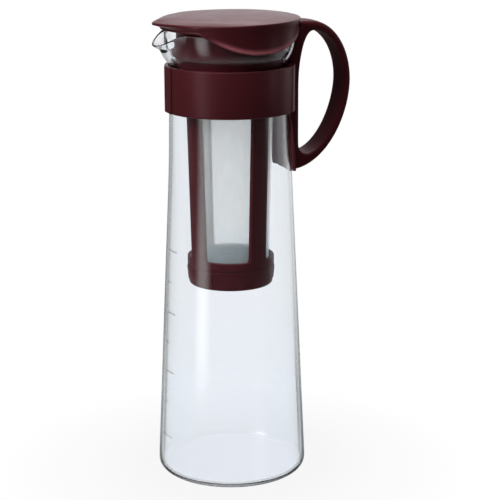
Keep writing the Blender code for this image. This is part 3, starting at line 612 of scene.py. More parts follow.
deselect_all()
bpy.ops.mesh.primitive_cube_add(size=1, location=(0, 0, 0))
clip = open_new("front_clip")
clip_size = Vector((clip_depth, clip_width, band_height))
bpy.ops.transform.resize(value=clip_size, center_override=(0, 0, 0))
clip_middle = Vector((clip_low.x + 0.5 * clip_depth, 0, 0.5 * (band_bottom_z + band_top_z)))
bpy.ops.transform.translate(value=clip_middle)
for side in (-1, 1):
    for y in (0.5 * web_width, 0.32 * clip_width):
        select_whole()
        bpy.ops.mesh.bisect(plane_co=(0, side * y, 0), plane_no=(0, 1, 0))
pick("FACE", lambda middle, face: face.normal.x > facing_least and abs(middle.y) < 0.1 * web_width)
web_depth = tongue_radius - band_bore + piece_gap
bpy.ops.mesh.extrude_region_move(TRANSFORM_OT_translate={"value": (web_depth, 0, 0)})
clip_cage = bmesh.from_edit_mesh(clip.data)
back_x = clip_middle.x + 0.4 * clip_depth
for vertex in clip_cage.verts:
    if vertex.co.x > back_x:
        vertex.co.x = -math.sqrt(vertex.co.x ** 2 - vertex.co.y ** 2)
bmesh.update_edit_mesh(clip.data)
pick("EDGE", lambda middle, edge: middle.x < back_x and edge.calc_face_angle(0) > sharp_angle)
round_edges(clip_edge_round, 3)
close_mesh()
assemble(clip, brown_plastic("clip_plastic"), "carafe", "brown_plastic", "band_clip")


# Handle
# One moulding of the same plastic: a flat loop for four fingers, the saddle that closes the band
# behind, and a curved plate that lies against the glass below it. All its edges are eased.

handle_low, handle_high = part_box("handle")
handle_width = 21.5 * mm
handle_far_x = handle_high.x
handle_top_z, handle_bottom_z = handle_high.z, handle_low.z
spine_face_x = band_radius + 2.5 * mm
loop_side_round = 2.3 * mm
loop_face_crown = 0.5 * mm
grip_thickness = 4.8 * mm
grip_top_thickness = 6.8 * mm
grip_bottom_thickness = 10.5 * mm
widest_z = handle_bottom_z + 0.593 * (handle_top_z - handle_bottom_z)
crest_share = 0.225
opening_crest_share = 0.268
opening_foot_share = 0.155
opening_foot_rise = 6.2 * mm
outer_power = 1.83
opening_power = 1.73
root_step = 1.0 * mm
loop_root_x = throat_radius - root_step
plate_half_angle = math.radians(24)
plate_wall = 2.4 * mm
plate_corner = 8.0 * mm
# How strongly painted light makes the plate's inner face paler.
plate_painted_light_share = 1.0
plate_fillet = 4.0 * mm
plate_edge_round = 0.8 * mm
plate_rise = 0.8 * mm
near_angle = 0.01
apart = 1.0 * mm
tool_margin = 3.0 * mm
tool_overlap = 2.0 * mm
skirt_room = 0.7 * mm


def quarter(centre, across, up, power, steps):
    """Points of a quarter of a superellipse, from its upright end round to its level end."""
    points = []
    for step in range(steps + 1):
        turn = 0.5 * math.pi * step / steps
        x = centre[0] + across * math.sin(turn) ** (2 / power)
        z = centre[1] + up * max(math.cos(turn), 0) ** (2 / power)
        points.append((x, z))
    return points


def join(piece, tool, operation):
    """Unites the piece with the tool, or cuts it, exactly, and takes the tool away."""
    work_on(piece)
    modifier = piece.modifiers.new("exact", "BOOLEAN")
    modifier.operation = operation
    modifier.solver = "EXACT"
    modifier.object = tool
    bpy.ops.object.modifier_apply(modifier=modifier.name)
    bpy.data.objects.remove(tool, do_unlink=True)


def loop_outlines():
    """Matching points of the loop's outside and of its finger opening, as (x, z)."""
    reach = handle_far_x - spine_face_x
    up = handle_top_z - widest_z
    inner_far = handle_far_x - grip_thickness
    inner_top = handle_top_z - grip_top_thickness
    inner_low = handle_bottom_z + grip_bottom_thickness
    crest = (spine_face_x + crest_share * reach, widest_z)
    opening_crest = (spine_face_x + opening_crest_share * reach, widest_z)
    opening_foot_x = spine_face_x + opening_foot_share * reach
    turn_z = inner_low + opening_foot_rise

    def upright(x, low, high, shares):
        return [(x, low + share * (high - low)) for share in shares]

    outer = quarter(crest, handle_far_x - crest[0], up, 2, 10)
    inner = quarter(opening_crest, inner_far - opening_crest[0], inner_top - widest_z, 2, 10)
    down = handle_bottom_z - widest_z
    low = quarter((band_bore, widest_z), handle_far_x - band_bore, down, outer_power, 12)
    outer += low[-2::-1]
    down = inner_low - widest_z
    low = quarter((opening_foot_x, widest_z), inner_far - opening_foot_x, down, opening_power, 12)
    inner += low[-2::-1]
    foot = quarter((opening_foot_x, turn_z), spine_face_x - opening_foot_x, inner_low - turn_z, 2, 5)
    inner += foot[1:] + upright(spine_face_x, turn_z, widest_z, (0.3, 0.6, 0.9))
    outer += [(band_bore - root_step, handle_bottom_z), (loop_root_x, handle_bottom_z)]
    outer += upright(loop_root_x, handle_bottom_z, turn_z, (0.3, 0.6, 1))
    outer += upright(loop_root_x, turn_z, widest_z, (0.3, 0.6, 0.9))
    shoulder = quarter(opening_crest, spine_face_x - opening_crest[0], inner_top - widest_z, 2, 8)
    inner += shoulder[-1:0:-1]
    outer += upright(loop_root_x, widest_z, handle_top_z, (0, 0.3, 0.65, 1))
    run = crest[0] - loop_root_x
    outer += [(loop_root_x + share * run, handle_top_z) for share in (0.2, 0.4, 0.6, 0.8)]
    return outer, inner


def loop_slices(outline, opposite):
    """The outline at each y across the loop, drawn in towards the other one as its sides round off."""
    half_width = 0.5 * handle_width
    flat = half_width - loop_side_round
    rows = [(0.5 * flat, 0)]
    for turn in (0, 22.5, 45, 67.5, 90):
        sway = math.radians(turn)
        rows.append((flat + loop_side_round * math.sin(sway), loop_side_round * (1 - math.cos(sway))))
    slices = []
    for y, inset in [(-y, inset) for y, inset in reversed(rows)] + [(0, 0)] + rows:
        inset += loop_face_crown * (y / half_width) ** 2
        ring = []
        for point, other in zip(outline, opposite):
            half = 0.5 * (Vector(point) - Vector(other))
            middle = Vector(other) + half
            ring.append(middle + half * max(half.length - inset, near) / half.length)
        slices.append((y, ring))
    return slices


def loft(name, slices):
    """A closed tube through rings of matching (x, z) points, each at its own y, back to the first."""
    deselect_all()
    bpy.ops.mesh.primitive_circle_add(vertices=len(slices[0][1]), radius=mm)
    tube = open_new(name)
    select_whole()
    cage = bmesh.from_edit_mesh(tube.data)
    for vertex, (x, z) in zip(cage.verts, slices[0][1]):
        vertex.co = (x, slices[0][0], z)
    bmesh.update_edit_mesh(tube.data)
    for (last_y, last), (y, ring) in zip(slices, slices[1:] + slices[:1]):
        bpy.ops.mesh.extrude_edges_move(TRANSFORM_OT_translate={"value": (0, y - last_y, 0)})
        cage = bmesh.from_edit_mesh(tube.data)
        for vertex in [vertex for vertex in cage.verts if vertex.select]:
            nearest = min(range(len(last)), key=lambda index: (last[index] - vertex.co.xz).length)
            vertex.co.x, vertex.co.z = ring[nearest]
        bmesh.update_edit_mesh(tube.data)
    close_mesh()
    return tube


def turned_wedge(name, start, stations, half_angle, middle=0):
    """A turned closed section, cut down to a wedge about a middle angle."""
    wedge = start_ring(name, *start, band_columns)
    carry_ring(start, stations + [start])
    merge_doubles()
    cut_through(-half_angle, 1)
    cut_through(half_angle, -1)
    close_mesh()
    wedge.rotation_euler.z = middle
    bpy.ops.object.transform_apply(location=False, rotation=True, scale=False)
    return wedge


def at_plate_side(middle):
    return abs(abs(angle_of(middle)) - plate_half_angle) < near_angle


def inner_corner(middle, edge):
    return abs(middle.z - band_bottom_z) < near and at_plate_side(middle)


def lower_corner(middle, edge):
    level = abs(edge.verts[0].co.z - edge.verts[1].co.z) < near
    return abs(middle.z - plate_low_z) < near and at_plate_side(middle) and level


def on_skin(place):
    return place.xy.length > band_radius - 0.5 * near or place.z < band_bottom_z - apart


def plate_rim(middle, edge):
    shown = all(on_skin(vertex.co) for vertex in edge.verts) and middle.z < band_top_z - apart
    return shown and middle.xy.length > throat_radius + tool_margin and edge.calc_face_angle(0) > sharp_angle


outer_loop, inner_loop = loop_outlines()
loop_rings = loop_slices(outer_loop, inner_loop) + loop_slices(inner_loop, outer_loop)[::-1]
handle = loft("loop_handle", loop_rings)
smooth_out(handle)

plate_low_z = handle_bottom_z + plate_rise
plate_low_radius = cone_radius(plate_low_z) + piece_gap + plate_wall
plate = turned_wedge(
    "plate",
    (plate_low_z, throat_radius - tool_overlap),
    [
        (plate_low_z, plate_low_radius),
        (band_bottom_z, band_radius),
        (band_top_z - band_edge_round, band_radius),
        (band_top_z - 0.3 * band_edge_round, band_radius - 0.3 * band_edge_round),
        (band_top_z, band_radius - band_edge_round),
        (band_top_z, throat_radius - tool_overlap),
    ],
    saddle_half_angle - piece_gap / band_radius,
)
for side in (-1, 1):
    notch = turned_wedge(
        "notch",
        (plate_low_z - tool_margin, throat_radius - 2 * tool_margin),
        [
            (plate_low_z - tool_margin, plate_low_radius + 3 * tool_margin),
            (band_bottom_z, plate_low_radius + 3 * tool_margin),
            (band_bottom_z, throat_radius - 2 * tool_margin),
        ],
        0.5 * saddle_half_angle,
        side * (plate_half_angle + 0.5 * saddle_half_angle),
    )
    bpy.ops.object.mode_set(mode="EDIT")
    pick("EDGE", inner_corner)
    round_edges(plate_fillet, 5, clamp=False)
    bpy.ops.object.mode_set(mode="OBJECT")
    join(plate, notch, "DIFFERENCE")
work_on(plate)
bpy.ops.object.mode_set(mode="EDIT")
pick("EDGE", lower_corner)
round_edges(plate_corner, 7, clamp=False)
pick("EDGE", plate_rim)
round_edges(plate_edge_round, 2)
bpy.ops.object.mode_set(mode="OBJECT")
join(handle, plate, "UNION")

lid_low, lid_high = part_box("lid")
lid_radius = lid_high.x
skirt_clear_radius = lid_radius + skirt_room
clearance_low_z = plate_low_z - 4 * tool_margin
clearance_low = (clearance_low_z, cone_radius(clearance_low_z) + piece_gap)
clearance = [(plate_low_z, cone_radius(plate_low_z) + piece_gap)]
clearance += [(z, radius + piece_gap) for z, radius in neck[1:] + mouth]
clearance += [(rim_z, rim_radius + piece_gap), (rim_z + piece_gap, rim_radius + piece_gap)]
clearance += [(z, skirt_clear_radius) for z in (rim_z + piece_gap, handle_top_z + 2 * tool_overlap)]
glass_space = start_disc("glass_space", *clearance_low, band_columns)
carry_ring(clearance_low, clearance)
close_with_pole()
close_mesh()
join(handle, glass_space, "DIFFERENCE")
for side in (-1, 1):
    tongue_space = turned_wedge(
        "tongue_space",
        (band_bottom_z - piece_gap, band_bore - tool_overlap),
        [
            (band_bottom_z - piece_gap, tongue_radius + piece_gap),
            (band_top_z + piece_gap, tongue_radius + piece_gap),
            (band_top_z + piece_gap, band_bore - tool_overlap),
        ],
        0.5 * (tongue_length + tool_overlap) / band_bore,
        side * (saddle_half_angle - 0.5 * (tongue_length - piece_gap) / band_bore),
    )
    join(handle, tongue_space, "DIFFERENCE")
# Painted light: the plate's inner face on the glass below the band is painted paler brown, standing in for
# the light that falls on it.
plate_painted_light = handle.data.attributes.new("painted_light", "FLOAT", "POINT")
for face in handle.data.polygons:
    middle = face.center
    on_glass = outwardness(middle, face) < -0.8 and middle.xy.length < cone_radius(middle.z) + apart
    if on_glass and middle.z < band_bottom_z:
        for index in face.vertices:
            plate_painted_light.data[index].value = plate_painted_light_share
assemble(handle, brown_plastic("handle_plastic", 0.50, 0.56, 0.15), "carafe", "brown_plastic", "handle")


# Strainer frame
# One moulding of the same plastic: an upright collar, the flange that hangs it in the glass, four
# ribs and a bottom ring. The mesh is moulded into the inner face of the ribs.

frame_low, frame_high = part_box("strainer_frame")
collar_top_z = frame_high.z
ring_z = frame_low.z
flange_radius = frame_high.x
ring_top_z = ring_z + 5.3 * mm
rib_top_z = ring_top_z + 94.1 * mm
ring_radius = 28.3 * mm
rib_top_radius = 30.9 * mm
rib_depth = 3.0 * mm
rib_width = 12.5 * mm
rib_first_angle = math.radians(20)
window_corner = 2.6 * mm
seat_z = throat_z + 8.0 * mm
flange_thickness = 1.6 * mm
collar_radius = flange_radius - 3.0 * mm
collar_wall = 1.8 * mm
collar_foot = ((0.3, 1.7), (1.4, 0.75), (3.0, 0.2), (5.0, 0))
flange_edge = 0.8 * mm
ring_margin = 3.0 * mm
rib_top_step = 0.3 * mm
window_half_angle = math.radians(40)
strainer_neck_radius = throat_radius - glass_wall - 0.6 * mm
frame_columns = 64
frame_edge_round = 0.4 * mm


def strainer_radius(z):
    share = (z - ring_top_z) / (rib_top_z - ring_top_z)
    return ring_radius + (rib_top_radius - ring_radius) * min(max(share, 0), 1)


def rib_turn(place):
    """Angle from the nearest rib's middle."""
    quarter_turn = 0.5 * math.pi
    turn = angle_of(place) - rib_first_angle
    return (turn + 0.5 * quarter_turn) % quarter_turn - 0.5 * quarter_turn


def off_rib(place):
    """Distance sideways from the nearest rib's middle."""
    return abs(place.xy.length * math.sin(rib_turn(place)))


def window_wall(middle, face):
    in_window = ring_top_z < middle.z < rib_top_z and off_rib(middle) > 0.5 * rib_width
    return in_window and abs(face.normal.z) < 0.5


def window_corner_edge(middle, edge):
    one, other = (vertex.co for vertex in edge.verts)
    level = abs(one.z - other.z) < near
    radial = abs(one.xy.length - other.xy.length) > 0.8 * rib_depth
    at_end = min(abs(middle.z - ring_top_z), abs(middle.z - rib_top_z)) < near
    return level and radial and at_end and abs(off_rib(middle) - 0.5 * rib_width) < 0.5 * apart


flange_top_z = seat_z + flange_thickness
wall_rings = [ring_top_z, ring_top_z + ring_margin, 0.5 * (ring_top_z + rib_top_z)]
wall_rings += [rib_top_z - ring_margin, rib_top_z]
frame_outside = [(ring_z, ring_radius)] + [(z, strainer_radius(z)) for z in wall_rings]
frame_outside += [
    (rib_top_z + ring_margin, rib_top_radius + rib_top_step),
    (throat_z, strainer_neck_radius),
    (seat_z - flange_edge, strainer_neck_radius),
    (seat_z, flange_radius - flange_edge),
]
frame_outside += arc(seat_z + flange_edge, flange_radius - flange_edge, flange_edge, -45, 90, 3)
frame_outside += [(flange_top_z + rise * mm, collar_radius + out * mm) for rise, out in collar_foot]
frame_outside += [
    (collar_top_z, collar_radius),
    (collar_top_z, collar_radius - collar_wall),
    (flange_top_z, collar_radius - collar_wall),
    (seat_z - flange_edge, strainer_neck_radius - collar_wall),
    (throat_z, strainer_neck_radius - collar_wall),
    (rib_top_z + ring_margin, rib_top_radius - rib_depth),
]
frame_inside = [(z, strainer_radius(z) - rib_depth) for z in reversed(wall_rings)]
frame_start = (ring_z, ring_radius - rib_depth)
strainer = start_ring("strainer_moulding", *frame_start, frame_columns)
frame_cage = bmesh.from_edit_mesh(strainer.data)
for vertex in frame_cage.verts:
    vertex.co = polar(vertex.co.xy.length, angle_of(vertex.co) + rib_first_angle, vertex.co.z)
bmesh.update_edit_mesh(strainer.data)
carry_ring(frame_start, frame_outside + frame_inside + [frame_start])
merge_doubles()
face_outwards()
frame_cage = bmesh.from_edit_mesh(strainer.data)
column_turn = 2 * math.pi / frame_columns
for vertex in frame_cage.verts:
    turn = rib_turn(vertex.co)
    if abs(abs(turn) - 2 * column_turn) < 0.1 * column_turn and vertex.co.z < rib_top_z + apart:
        radius = vertex.co.xy.length
        rib_edge = math.copysign(math.asin(0.5 * rib_width / radius), turn)
        vertex.co = polar(radius, angle_of(vertex.co) - turn + rib_edge, vertex.co.z)
bmesh.update_edit_mesh(strainer.data)
pick("FACE", window_wall)
bpy.ops.mesh.delete(type="FACE")
for index in range(4):
    window_way = polar(1, rib_first_angle + 0.5 * math.pi * (index + 0.5), 0)

    def round_window(middle, edge):
        return edge.is_boundary and level_way(middle).dot(window_way) > math.cos(window_half_angle)

    pick("EDGE", round_window)
    bpy.ops.mesh.bridge_edge_loops()
pick("EDGE", window_corner_edge)
round_edges(window_corner, 3, clamp=False)
bpy.ops.mesh.select_mode(type="EDGE")
bpy.ops.mesh.select_all(action="DESELECT")
bpy.ops.mesh.edges_select_sharp(sharpness=math.radians(50))
round_edges(frame_edge_round, 2)
close_mesh()
smooth_out(strainer)
strainer_plastic = brown_plastic("strainer_plastic", shine=0.12)
assemble(strainer, strainer_plastic, "strainer", "brown_plastic", "strainer_frame")


# Mesh sleeve
# A tapered tube of fine woven polyester, welded along one seam and held in the inner faces of the
# ribs. It is pale grey and lets light through, and the folded hem at its foot is a little bluer.

sleeve_low, sleeve_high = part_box("mesh_sleeve")
sleeve_columns = 96
sleeve_thickness = 0.5 * mm
weave_pitch = 0.42 * mm
foot_rise = 4.0 * mm
hem_height = 6.0 * mm
hem_fold_z = ring_top_z + 11 * mm
hem_fold = 0.8 * mm
thread_depth = 0.1 * mm


def sleeve_radius(z):
    return strainer_radius(z) - rib_depth - piece_gap


def woven_mesh():
    """Fine weave in the sleeve's own UV map: threads over and under, with open light between them."""
    material, tree, shader = node_material("woven_mesh")
    weave_map = tree.nodes.new("ShaderNodeUVMap")
    weave_map.uv_map = "weave"
    threads = []
    for turn in (0, 90):
        mapping = tree.nodes.new("ShaderNodeMapping")
        mapping.inputs["Rotation"].default_value = (0, 0, math.radians(turn))
        wave = tree.nodes.new("ShaderNodeTexWave")
        wave.inputs["Scale"].default_value = 0.5 / weave_pitch / math.pi
        tree.links.new(weave_map.outputs["UV"], mapping.inputs["Vector"])
        tree.links.new(mapping.outputs["Vector"], wave.inputs["Vector"])
        threads.append(wave.outputs["Fac"])
    crossing = work_out(tree, "MAXIMUM", *threads)
    cloth = object_noise(tree, 60, detail=4.0)
    pale = ramp(tree, cloth, (0.3, (0.89, 0.90, 0.87)), (0.7, (0.93, 0.94, 0.91)))
    height = upward_part(tree, coordinates(tree))
    above_hem = carry_over(tree, height, hem_fold_z - 0.5 * hem_fold, hem_fold_z + 0.5 * hem_fold)
    dyed = mix_colours(tree, above_hem, (0.82, 0.93, 0.95, 1), pale)
    feed(tree, shader.inputs["Base Color"], dyed)
    vary(tree, cloth, 0.45, 0.6, shader.inputs["Roughness"])
    roughen(tree, crossing, 0.3, thread_depth, shader.inputs["Normal"])
    glow = tree.nodes.new("ShaderNodeBsdfTranslucent")
    tree.links.new(dyed, glow.inputs["Color"])
    lit_cloth = mix_shaders(tree, 0.6, shader.outputs["BSDF"], glow.outputs["BSDF"])
    hole = tree.nodes.new("ShaderNodeBsdfTransparent")
    openness = carry_over(tree, crossing, 0.35, 0.75, 0.9, 0.66)
    show(tree, mix_shaders(tree, openness, lit_cloth, hole.outputs["BSDF"]))
    return material


sleeve_heights = [sleeve_low.z, ring_top_z + foot_rise, 0.5 * (ring_top_z + rib_top_z)]
sleeve_heights += [rib_top_z - hem_height, rib_top_z, sleeve_high.z]
sleeve_start = (sleeve_heights[0], sleeve_radius(sleeve_heights[0]) - sleeve_thickness)
sleeve_stations = [(z, sleeve_radius(z)) for z in sleeve_heights]
sleeve_stations += [(z, sleeve_radius(z) - sleeve_thickness) for z in reversed(sleeve_heights)]
sleeve = start_ring("mesh_tube", *sleeve_start, sleeve_columns)
carry_ring(sleeve_start, sleeve_stations)
close_mesh()
weave = sleeve.data.uv_layers.new(name="weave")
for face in sleeve.data.polygons:
    middle_turn = angle_of(face.center)
    for corner in face.loop_indices:
        place = sleeve.data.vertices[sleeve.data.loops[corner].vertex_index].co
        turn = angle_of(place)
        turn += 2 * math.pi * round((middle_turn - turn) / (2 * math.pi))
        weave.data[corner].uv = (turn * sleeve_radius(rib_top_z), place.z)
assemble(sleeve, woven_mesh(), "strainer", "fine_mesh", "mesh_sleeve")


# Strainer cap
# A cup of the same plastic under the bottom ring, with two low grip pads outside and a plain spigot;
# the two lugs by which a part turn locks it in the ring are not drawn. The cap comes off to empty the
# grounds.

cap_bottom_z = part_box("strainer_cap")[0].z
cap_top_z = ring_z - piece_gap
cap_taper = 1.1 * mm
cap_wall = 2.0 * mm
cap_edge_round = 1.1 * mm
pad_height = 0.45 * mm
pad_half_angle = math.radians(34)
pad_middle = math.radians(190)
pad_margin = 1.7 * mm
pad_edge_round = 0.3 * mm
cap_top_round = 0.35 * mm
spigot_radius = ring_radius - rib_depth - piece_gap
spigot_wall = 1.3 * mm
spigot_top_z = ring_z + 3.4 * mm
cap_columns = 90

cap_floor_z = cap_bottom_z + cap_wall
cap_low_radius = ring_radius - cap_taper
cap_inside = ring_radius - cap_wall - cap_taper
cap_disc = (cap_bottom_z, 0.5 * cap_low_radius)
cap_foot = (cap_bottom_z + cap_edge_round, cap_low_radius - cap_edge_round)
cap_corner = arc(*cap_foot, cap_edge_round, -90, 0, 3)
pad_low_z = cap_bottom_z + cap_edge_round + pad_margin
pad_high_z = cap_top_z - pad_margin


def cap_radius(z):
    return cap_low_radius + cap_taper * (z - cap_bottom_z) / (cap_top_z - cap_bottom_z)


cap_outline = cap_corner + [(pad_low_z, cap_radius(pad_low_z)), (pad_high_z, cap_radius(pad_high_z))]
cap_outline += [
    (cap_top_z - cap_top_round, ring_radius),
    (cap_top_z, ring_radius - cap_top_round),
    (cap_top_z, spigot_radius),
    (spigot_top_z, spigot_radius),
    (spigot_top_z, spigot_radius - spigot_wall),
    (cap_top_z - cap_wall, spigot_radius - spigot_wall),
    (cap_top_z - cap_wall - cap_taper, cap_inside),
    (cap_floor_z, cap_inside),
    (cap_floor_z, 0.4 * cap_inside),
]
cap = start_disc("twist_cap", *cap_disc, cap_columns)
carry_ring(cap_disc, cap_outline)
close_with_pole()
face_outwards()


def on_pad(middle, face):
    away = abs((angle_of(middle) - pad_middle + 0.5 * math.pi) % math.pi - 0.5 * math.pi)
    on_side = outwardness(middle, face) > facing_least and middle.xy.length > spigot_radius
    return on_side and pad_low_z < middle.z < pad_high_z and away < pad_half_angle


pick("FACE", on_pad)
raise_faces(pad_height, ring_radius)
bpy.ops.mesh.select_mode(type="EDGE")
bpy.ops.mesh.region_to_loop()
round_edges(pad_edge_round, 2)
close_mesh()
assemble(cap, brown_plastic("cap_plastic", shine=0.12), "cap", "brown_plastic", "strainer_cap")


# Lid
# One moulding of the same plastic, very glossy above: a low crown drawn out into a beak over the
# spout, a skirt that hangs outside the glass in two lobes, and a plug ring that fits the collar.

lid_crown = 3.2 * mm
lid_slope = 0.018
lid_edge = 4.2 * mm
lid_underside_z = collar_top_z + 2.0 * mm
lid_edge_z = lid_underside_z + lid_edge
lid_edge_round = 0.9 * mm
lid_skin = 1.8 * mm
skirt_bore = rim_radius + 0.4 * mm
skirt_wall = 1.4 * mm
skirt_radius = skirt_bore + skirt_wall
skirt_depth = 13.0 * mm
skirt_least = 0.5 * mm
skirt_low_angle = math.radians(277)
skirt_front_spread = math.radians(53)
skirt_rear_spread = math.radians(70)
plate_radius = lid_radius + 0.3 * mm
beak_reach = -lid_low.x - plate_radius
beak_spread = math.radians(17)
beak_thinning = 1.7 * mm
nose_spread = math.radians(48)
crown_spread = math.radians(80)
crown_start = 0.2
side_lean = 1.7 * mm
side_lean_depth = 5.0 * mm
side_slope = 0.05
lobe_start = 2.0 * mm
edge_tuck = (0.15, 1.2 * mm)
root_tuck = (0.4, 3.0 * mm)
shoulder_tuck = (0.45, 2.4 * mm)
lip_draft = 0.1 * mm
under_round = ((0.5, 0), (0.1, 0.15), (0, 0.4))
shoulder_rise = 0.58 * mm
# Where the painted highlight on the skirt's lip starts, and over what depth it grows.
lip_highlight_start = 4.0 * mm
lip_highlight_span = 5.0 * mm
bore_taper = 0.7 * mm
bead_swell = 0.7 * mm
plug_radius = collar_radius - collar_wall - piece_gap
plug_wall = 1.4 * mm
plug_low_z = collar_top_z - 9.0 * mm
lid_columns = 144


def crown_z(share):
    return lid_edge_z + lid_crown * (1 - share ** 3)


def skirt_drop(angle):
    """How far the skirt hangs at an angle: a lobe on each side, almost nothing in front and behind."""
    turned = angle % (2 * math.pi)
    away = max(turned, 2 * math.pi - turned) - skirt_low_angle
    spread = skirt_rear_spread if away > 0 else skirt_front_spread
    share = min(abs(away) / spread, 1)
    return skirt_least + (skirt_depth - skirt_least) * math.cos(0.5 * math.pi * share)


def side_radius(z):
    """The lid's side, which leans in below the edge of the plate and then hangs almost upright."""
    depth = lid_edge_z - z
    return plate_radius - side_lean * (1 - math.exp(-depth / side_lean_depth)) - side_slope * depth


def shape_lid(ring_name, place):
    """Where a point of the round blank goes: out over the spout, down into a lobe, up with the slope."""
    angle = angle_of(place)
    away = math.pi - abs(angle)
    radius, z = place.xy.length, place.z
    drop = skirt_drop(angle)
    lobe = min((drop - skirt_least) / lobe_start, 1)

    def fade(spread, power):
        return math.exp(-((away / spread) ** power))

    def tuck(share, most):
        return min(share * drop, most) * lobe

    def leant(radius):
        return radius + (side_radius(z) - radius) * lobe

    if ring_name == "top":
        share = radius / plate_radius
        z += lid_crown * (share ** 3 - share ** 7) * fade(crown_spread, 4)
    if ring_name in ("top", "plate"):
        radius *= 1 + beak_reach * fade(beak_spread, 1.6) / plate_radius
    if ring_name == "plate" and z < lid_underside_z + apart:
        z += beak_thinning * fade(nose_spread, 4) - tuck(*edge_tuck) * (z < lid_underside_z + near)
        radius = leant(radius)
    if ring_name == "root":
        z -= tuck(*root_tuck)
        radius = leant(radius)
    if ring_name == "shoulder":
        z -= drop - tuck(*shoulder_tuck)
        radius = leant(radius)
    if ring_name == "skirt":
        swell = 1 + 0.5 * lobe
        z = skirt_lip_z + (z - skirt_lip_z) * swell - drop
        centre = lip_middle + (side_radius(z) + bead_swell - lip_round * swell - lip_middle) * lobe
        radius = centre + (radius - lip_middle) * swell
    if ring_name == "bore":
        radius -= bore_taper * drop / skirt_depth
        z -= drop
    if ring_name in ("top", "skin") or place.z > lid_edge_z - lid_skin:
        z += lid_slope * radius * math.cos(angle)
    return polar(radius, angle, z)


lip_round = 0.5 * skirt_wall - lip_draft
skirt_lip_z = lid_underside_z - lip_round
lip_middle = skirt_radius - lip_draft - lip_round
lid_disc = (crown_z(crown_start), crown_start * plate_radius)
top_shares = (0.4, 0.55, 0.7, 0.82, 0.92)
lid_rings = [("top", crown_z(share), share * plate_radius) for share in top_shares]
plate_edge = arc(lid_edge_z - lid_edge_round, plate_radius - lid_edge_round, lid_edge_round, 80, 0, 4)
lid_rings += [("plate", z, radius) for z, radius in plate_edge]
for rise, inset in under_round:
    lid_rings.append(("plate", lid_underside_z + rise * mm, plate_radius - inset * mm))
lid_rings.append(("root", lid_underside_z, skirt_radius))
lid_rings.append(("shoulder", skirt_lip_z + shoulder_rise, lip_middle + 0.5 * lip_round))
lid_rings += [("skirt", z, radius) for z, radius in arc(skirt_lip_z, lip_middle, lip_round, 60, -90, 5)]
lid_rings += [("bore", z, radius) for z, radius in arc(skirt_lip_z, lip_middle, lip_round, -135, -180, 1)]
lid_rings += [
    ("skin", lid_edge_z - lid_skin, skirt_bore),
    ("skin", lid_edge_z - lid_skin, collar_radius),
    ("seat", collar_top_z + piece_gap, collar_radius),
    ("seat", collar_top_z + piece_gap, plug_radius),
    ("seat", plug_low_z + plug_wall, plug_radius),
    ("seat", plug_low_z, plug_radius - 0.5 * plug_wall),
    ("seat", plug_low_z, plug_radius - plug_wall),
    ("skin", lid_edge_z - lid_skin, plug_radius - plug_wall),
    ("skin", crown_z(crown_start) - lid_skin, 0.3 * plug_radius),
]
lid = start_disc("lid_moulding", *lid_disc, lid_columns)
carry_ring(lid_disc, [(z, radius) for ring_name, z, radius in lid_rings])
close_with_pole()
close_mesh()
# Painted highlight: the lower lip of each skirt lobe is painted paler brown, more where the lobe hangs
# deeper.
painted_light = lid.data.attributes.new("painted_light", "FLOAT", "POINT")
for vertex in lid.data.vertices:
    place = vertex.co.copy()
    if place.xy.length < near:
        vertex.co.z = crown_z(0) if place.z > crown_z(0.5) else crown_z(0) - lid_skin
        continue

    def distance(ring):
        return math.hypot(ring[1] - place.z, ring[2] - place.xy.length)

    nearest = min([("top", *lid_disc)] + lid_rings, key=distance)
    vertex.co = shape_lid(nearest[0], place)
    if nearest[0] == "skirt":
        hang = skirt_drop(angle_of(place))
        painted_light.data[vertex.index].value = min(max(hang - lip_highlight_start, 0) / lip_highlight_span, 1)
assemble(lid, brown_plastic("lid_plastic", 0.36, 0.42), "lid", "brown_plastic", "lid")


# Table and light
# A white table top in a white studio. A broad soft source stands above on the left, with a tall one
# that draws the upright lines on the glass. Others hang overhead and high behind, and a weak one
# stands on the right.

view_turn = math.radians(250)
backdrop_turn = math.radians(26)
table_radius = 0.42
table_drop = 0.3 * mm
shadow_start = 0.06
shadow_end = 0.16
shadow_glow = 0.86
fade_start = 0.18
glass_glow = 0.56
white = (1, 1, 1, 1)


def white_shares(tree):
    """1 for rays straight from the camera, and the glow kept for rays turned in the glass."""
    path = tree.nodes.new("ShaderNodeLightPath").outputs
    bounces = work_out(tree, "ADD", path["Diffuse Depth"], path["Glossy Depth"])
    straight = work_out(tree, "LESS_THAN", bounces, 0.5)
    scattered = work_out(tree, "MULTIPLY", path["Diffuse Depth"], 10)
    in_glass = work_out(tree, "GREATER_THAN", path["Transmission Depth"], scattered)
    return straight, work_out(tree, "MULTIPLY", in_glass, glass_glow)


def table_top():
    """Matt white near the carafe, where it takes the shadow, fading out into the studio around."""
    material, tree, shader = node_material("white_table")
    shader.inputs["Base Color"].default_value = (0.5, 0.5, 0.5, 1)
    shader.inputs["Roughness"].default_value = 0.9
    shader.inputs["Specular IOR Level"].default_value = 0.0
    glow = tree.nodes.new("ShaderNodeEmission")
    glow.inputs["Color"].default_value = white
    length = tree.nodes.new("ShaderNodeVectorMath")
    length.operation = "LENGTH"
    tree.links.new(coordinates(tree), length.inputs[0])
    distance = length.outputs["Value"]
    past_shadow = carry_over(tree, distance, shadow_start, shadow_end, shadow_glow)
    glowing = work_out(tree, "MULTIPLY", past_shadow, work_out(tree, "MAXIMUM", *white_shares(tree)))
    lit = mix_shaders(tree, glowing, shader.outputs["BSDF"], glow.outputs["Emission"])
    beyond = tree.nodes.new("ShaderNodeBsdfTransparent")
    faded = carry_over(tree, distance, fade_start, 0.98 * table_radius)
    show(tree, mix_shaders(tree, faded, lit, beyond.outputs["BSDF"]))
    return material


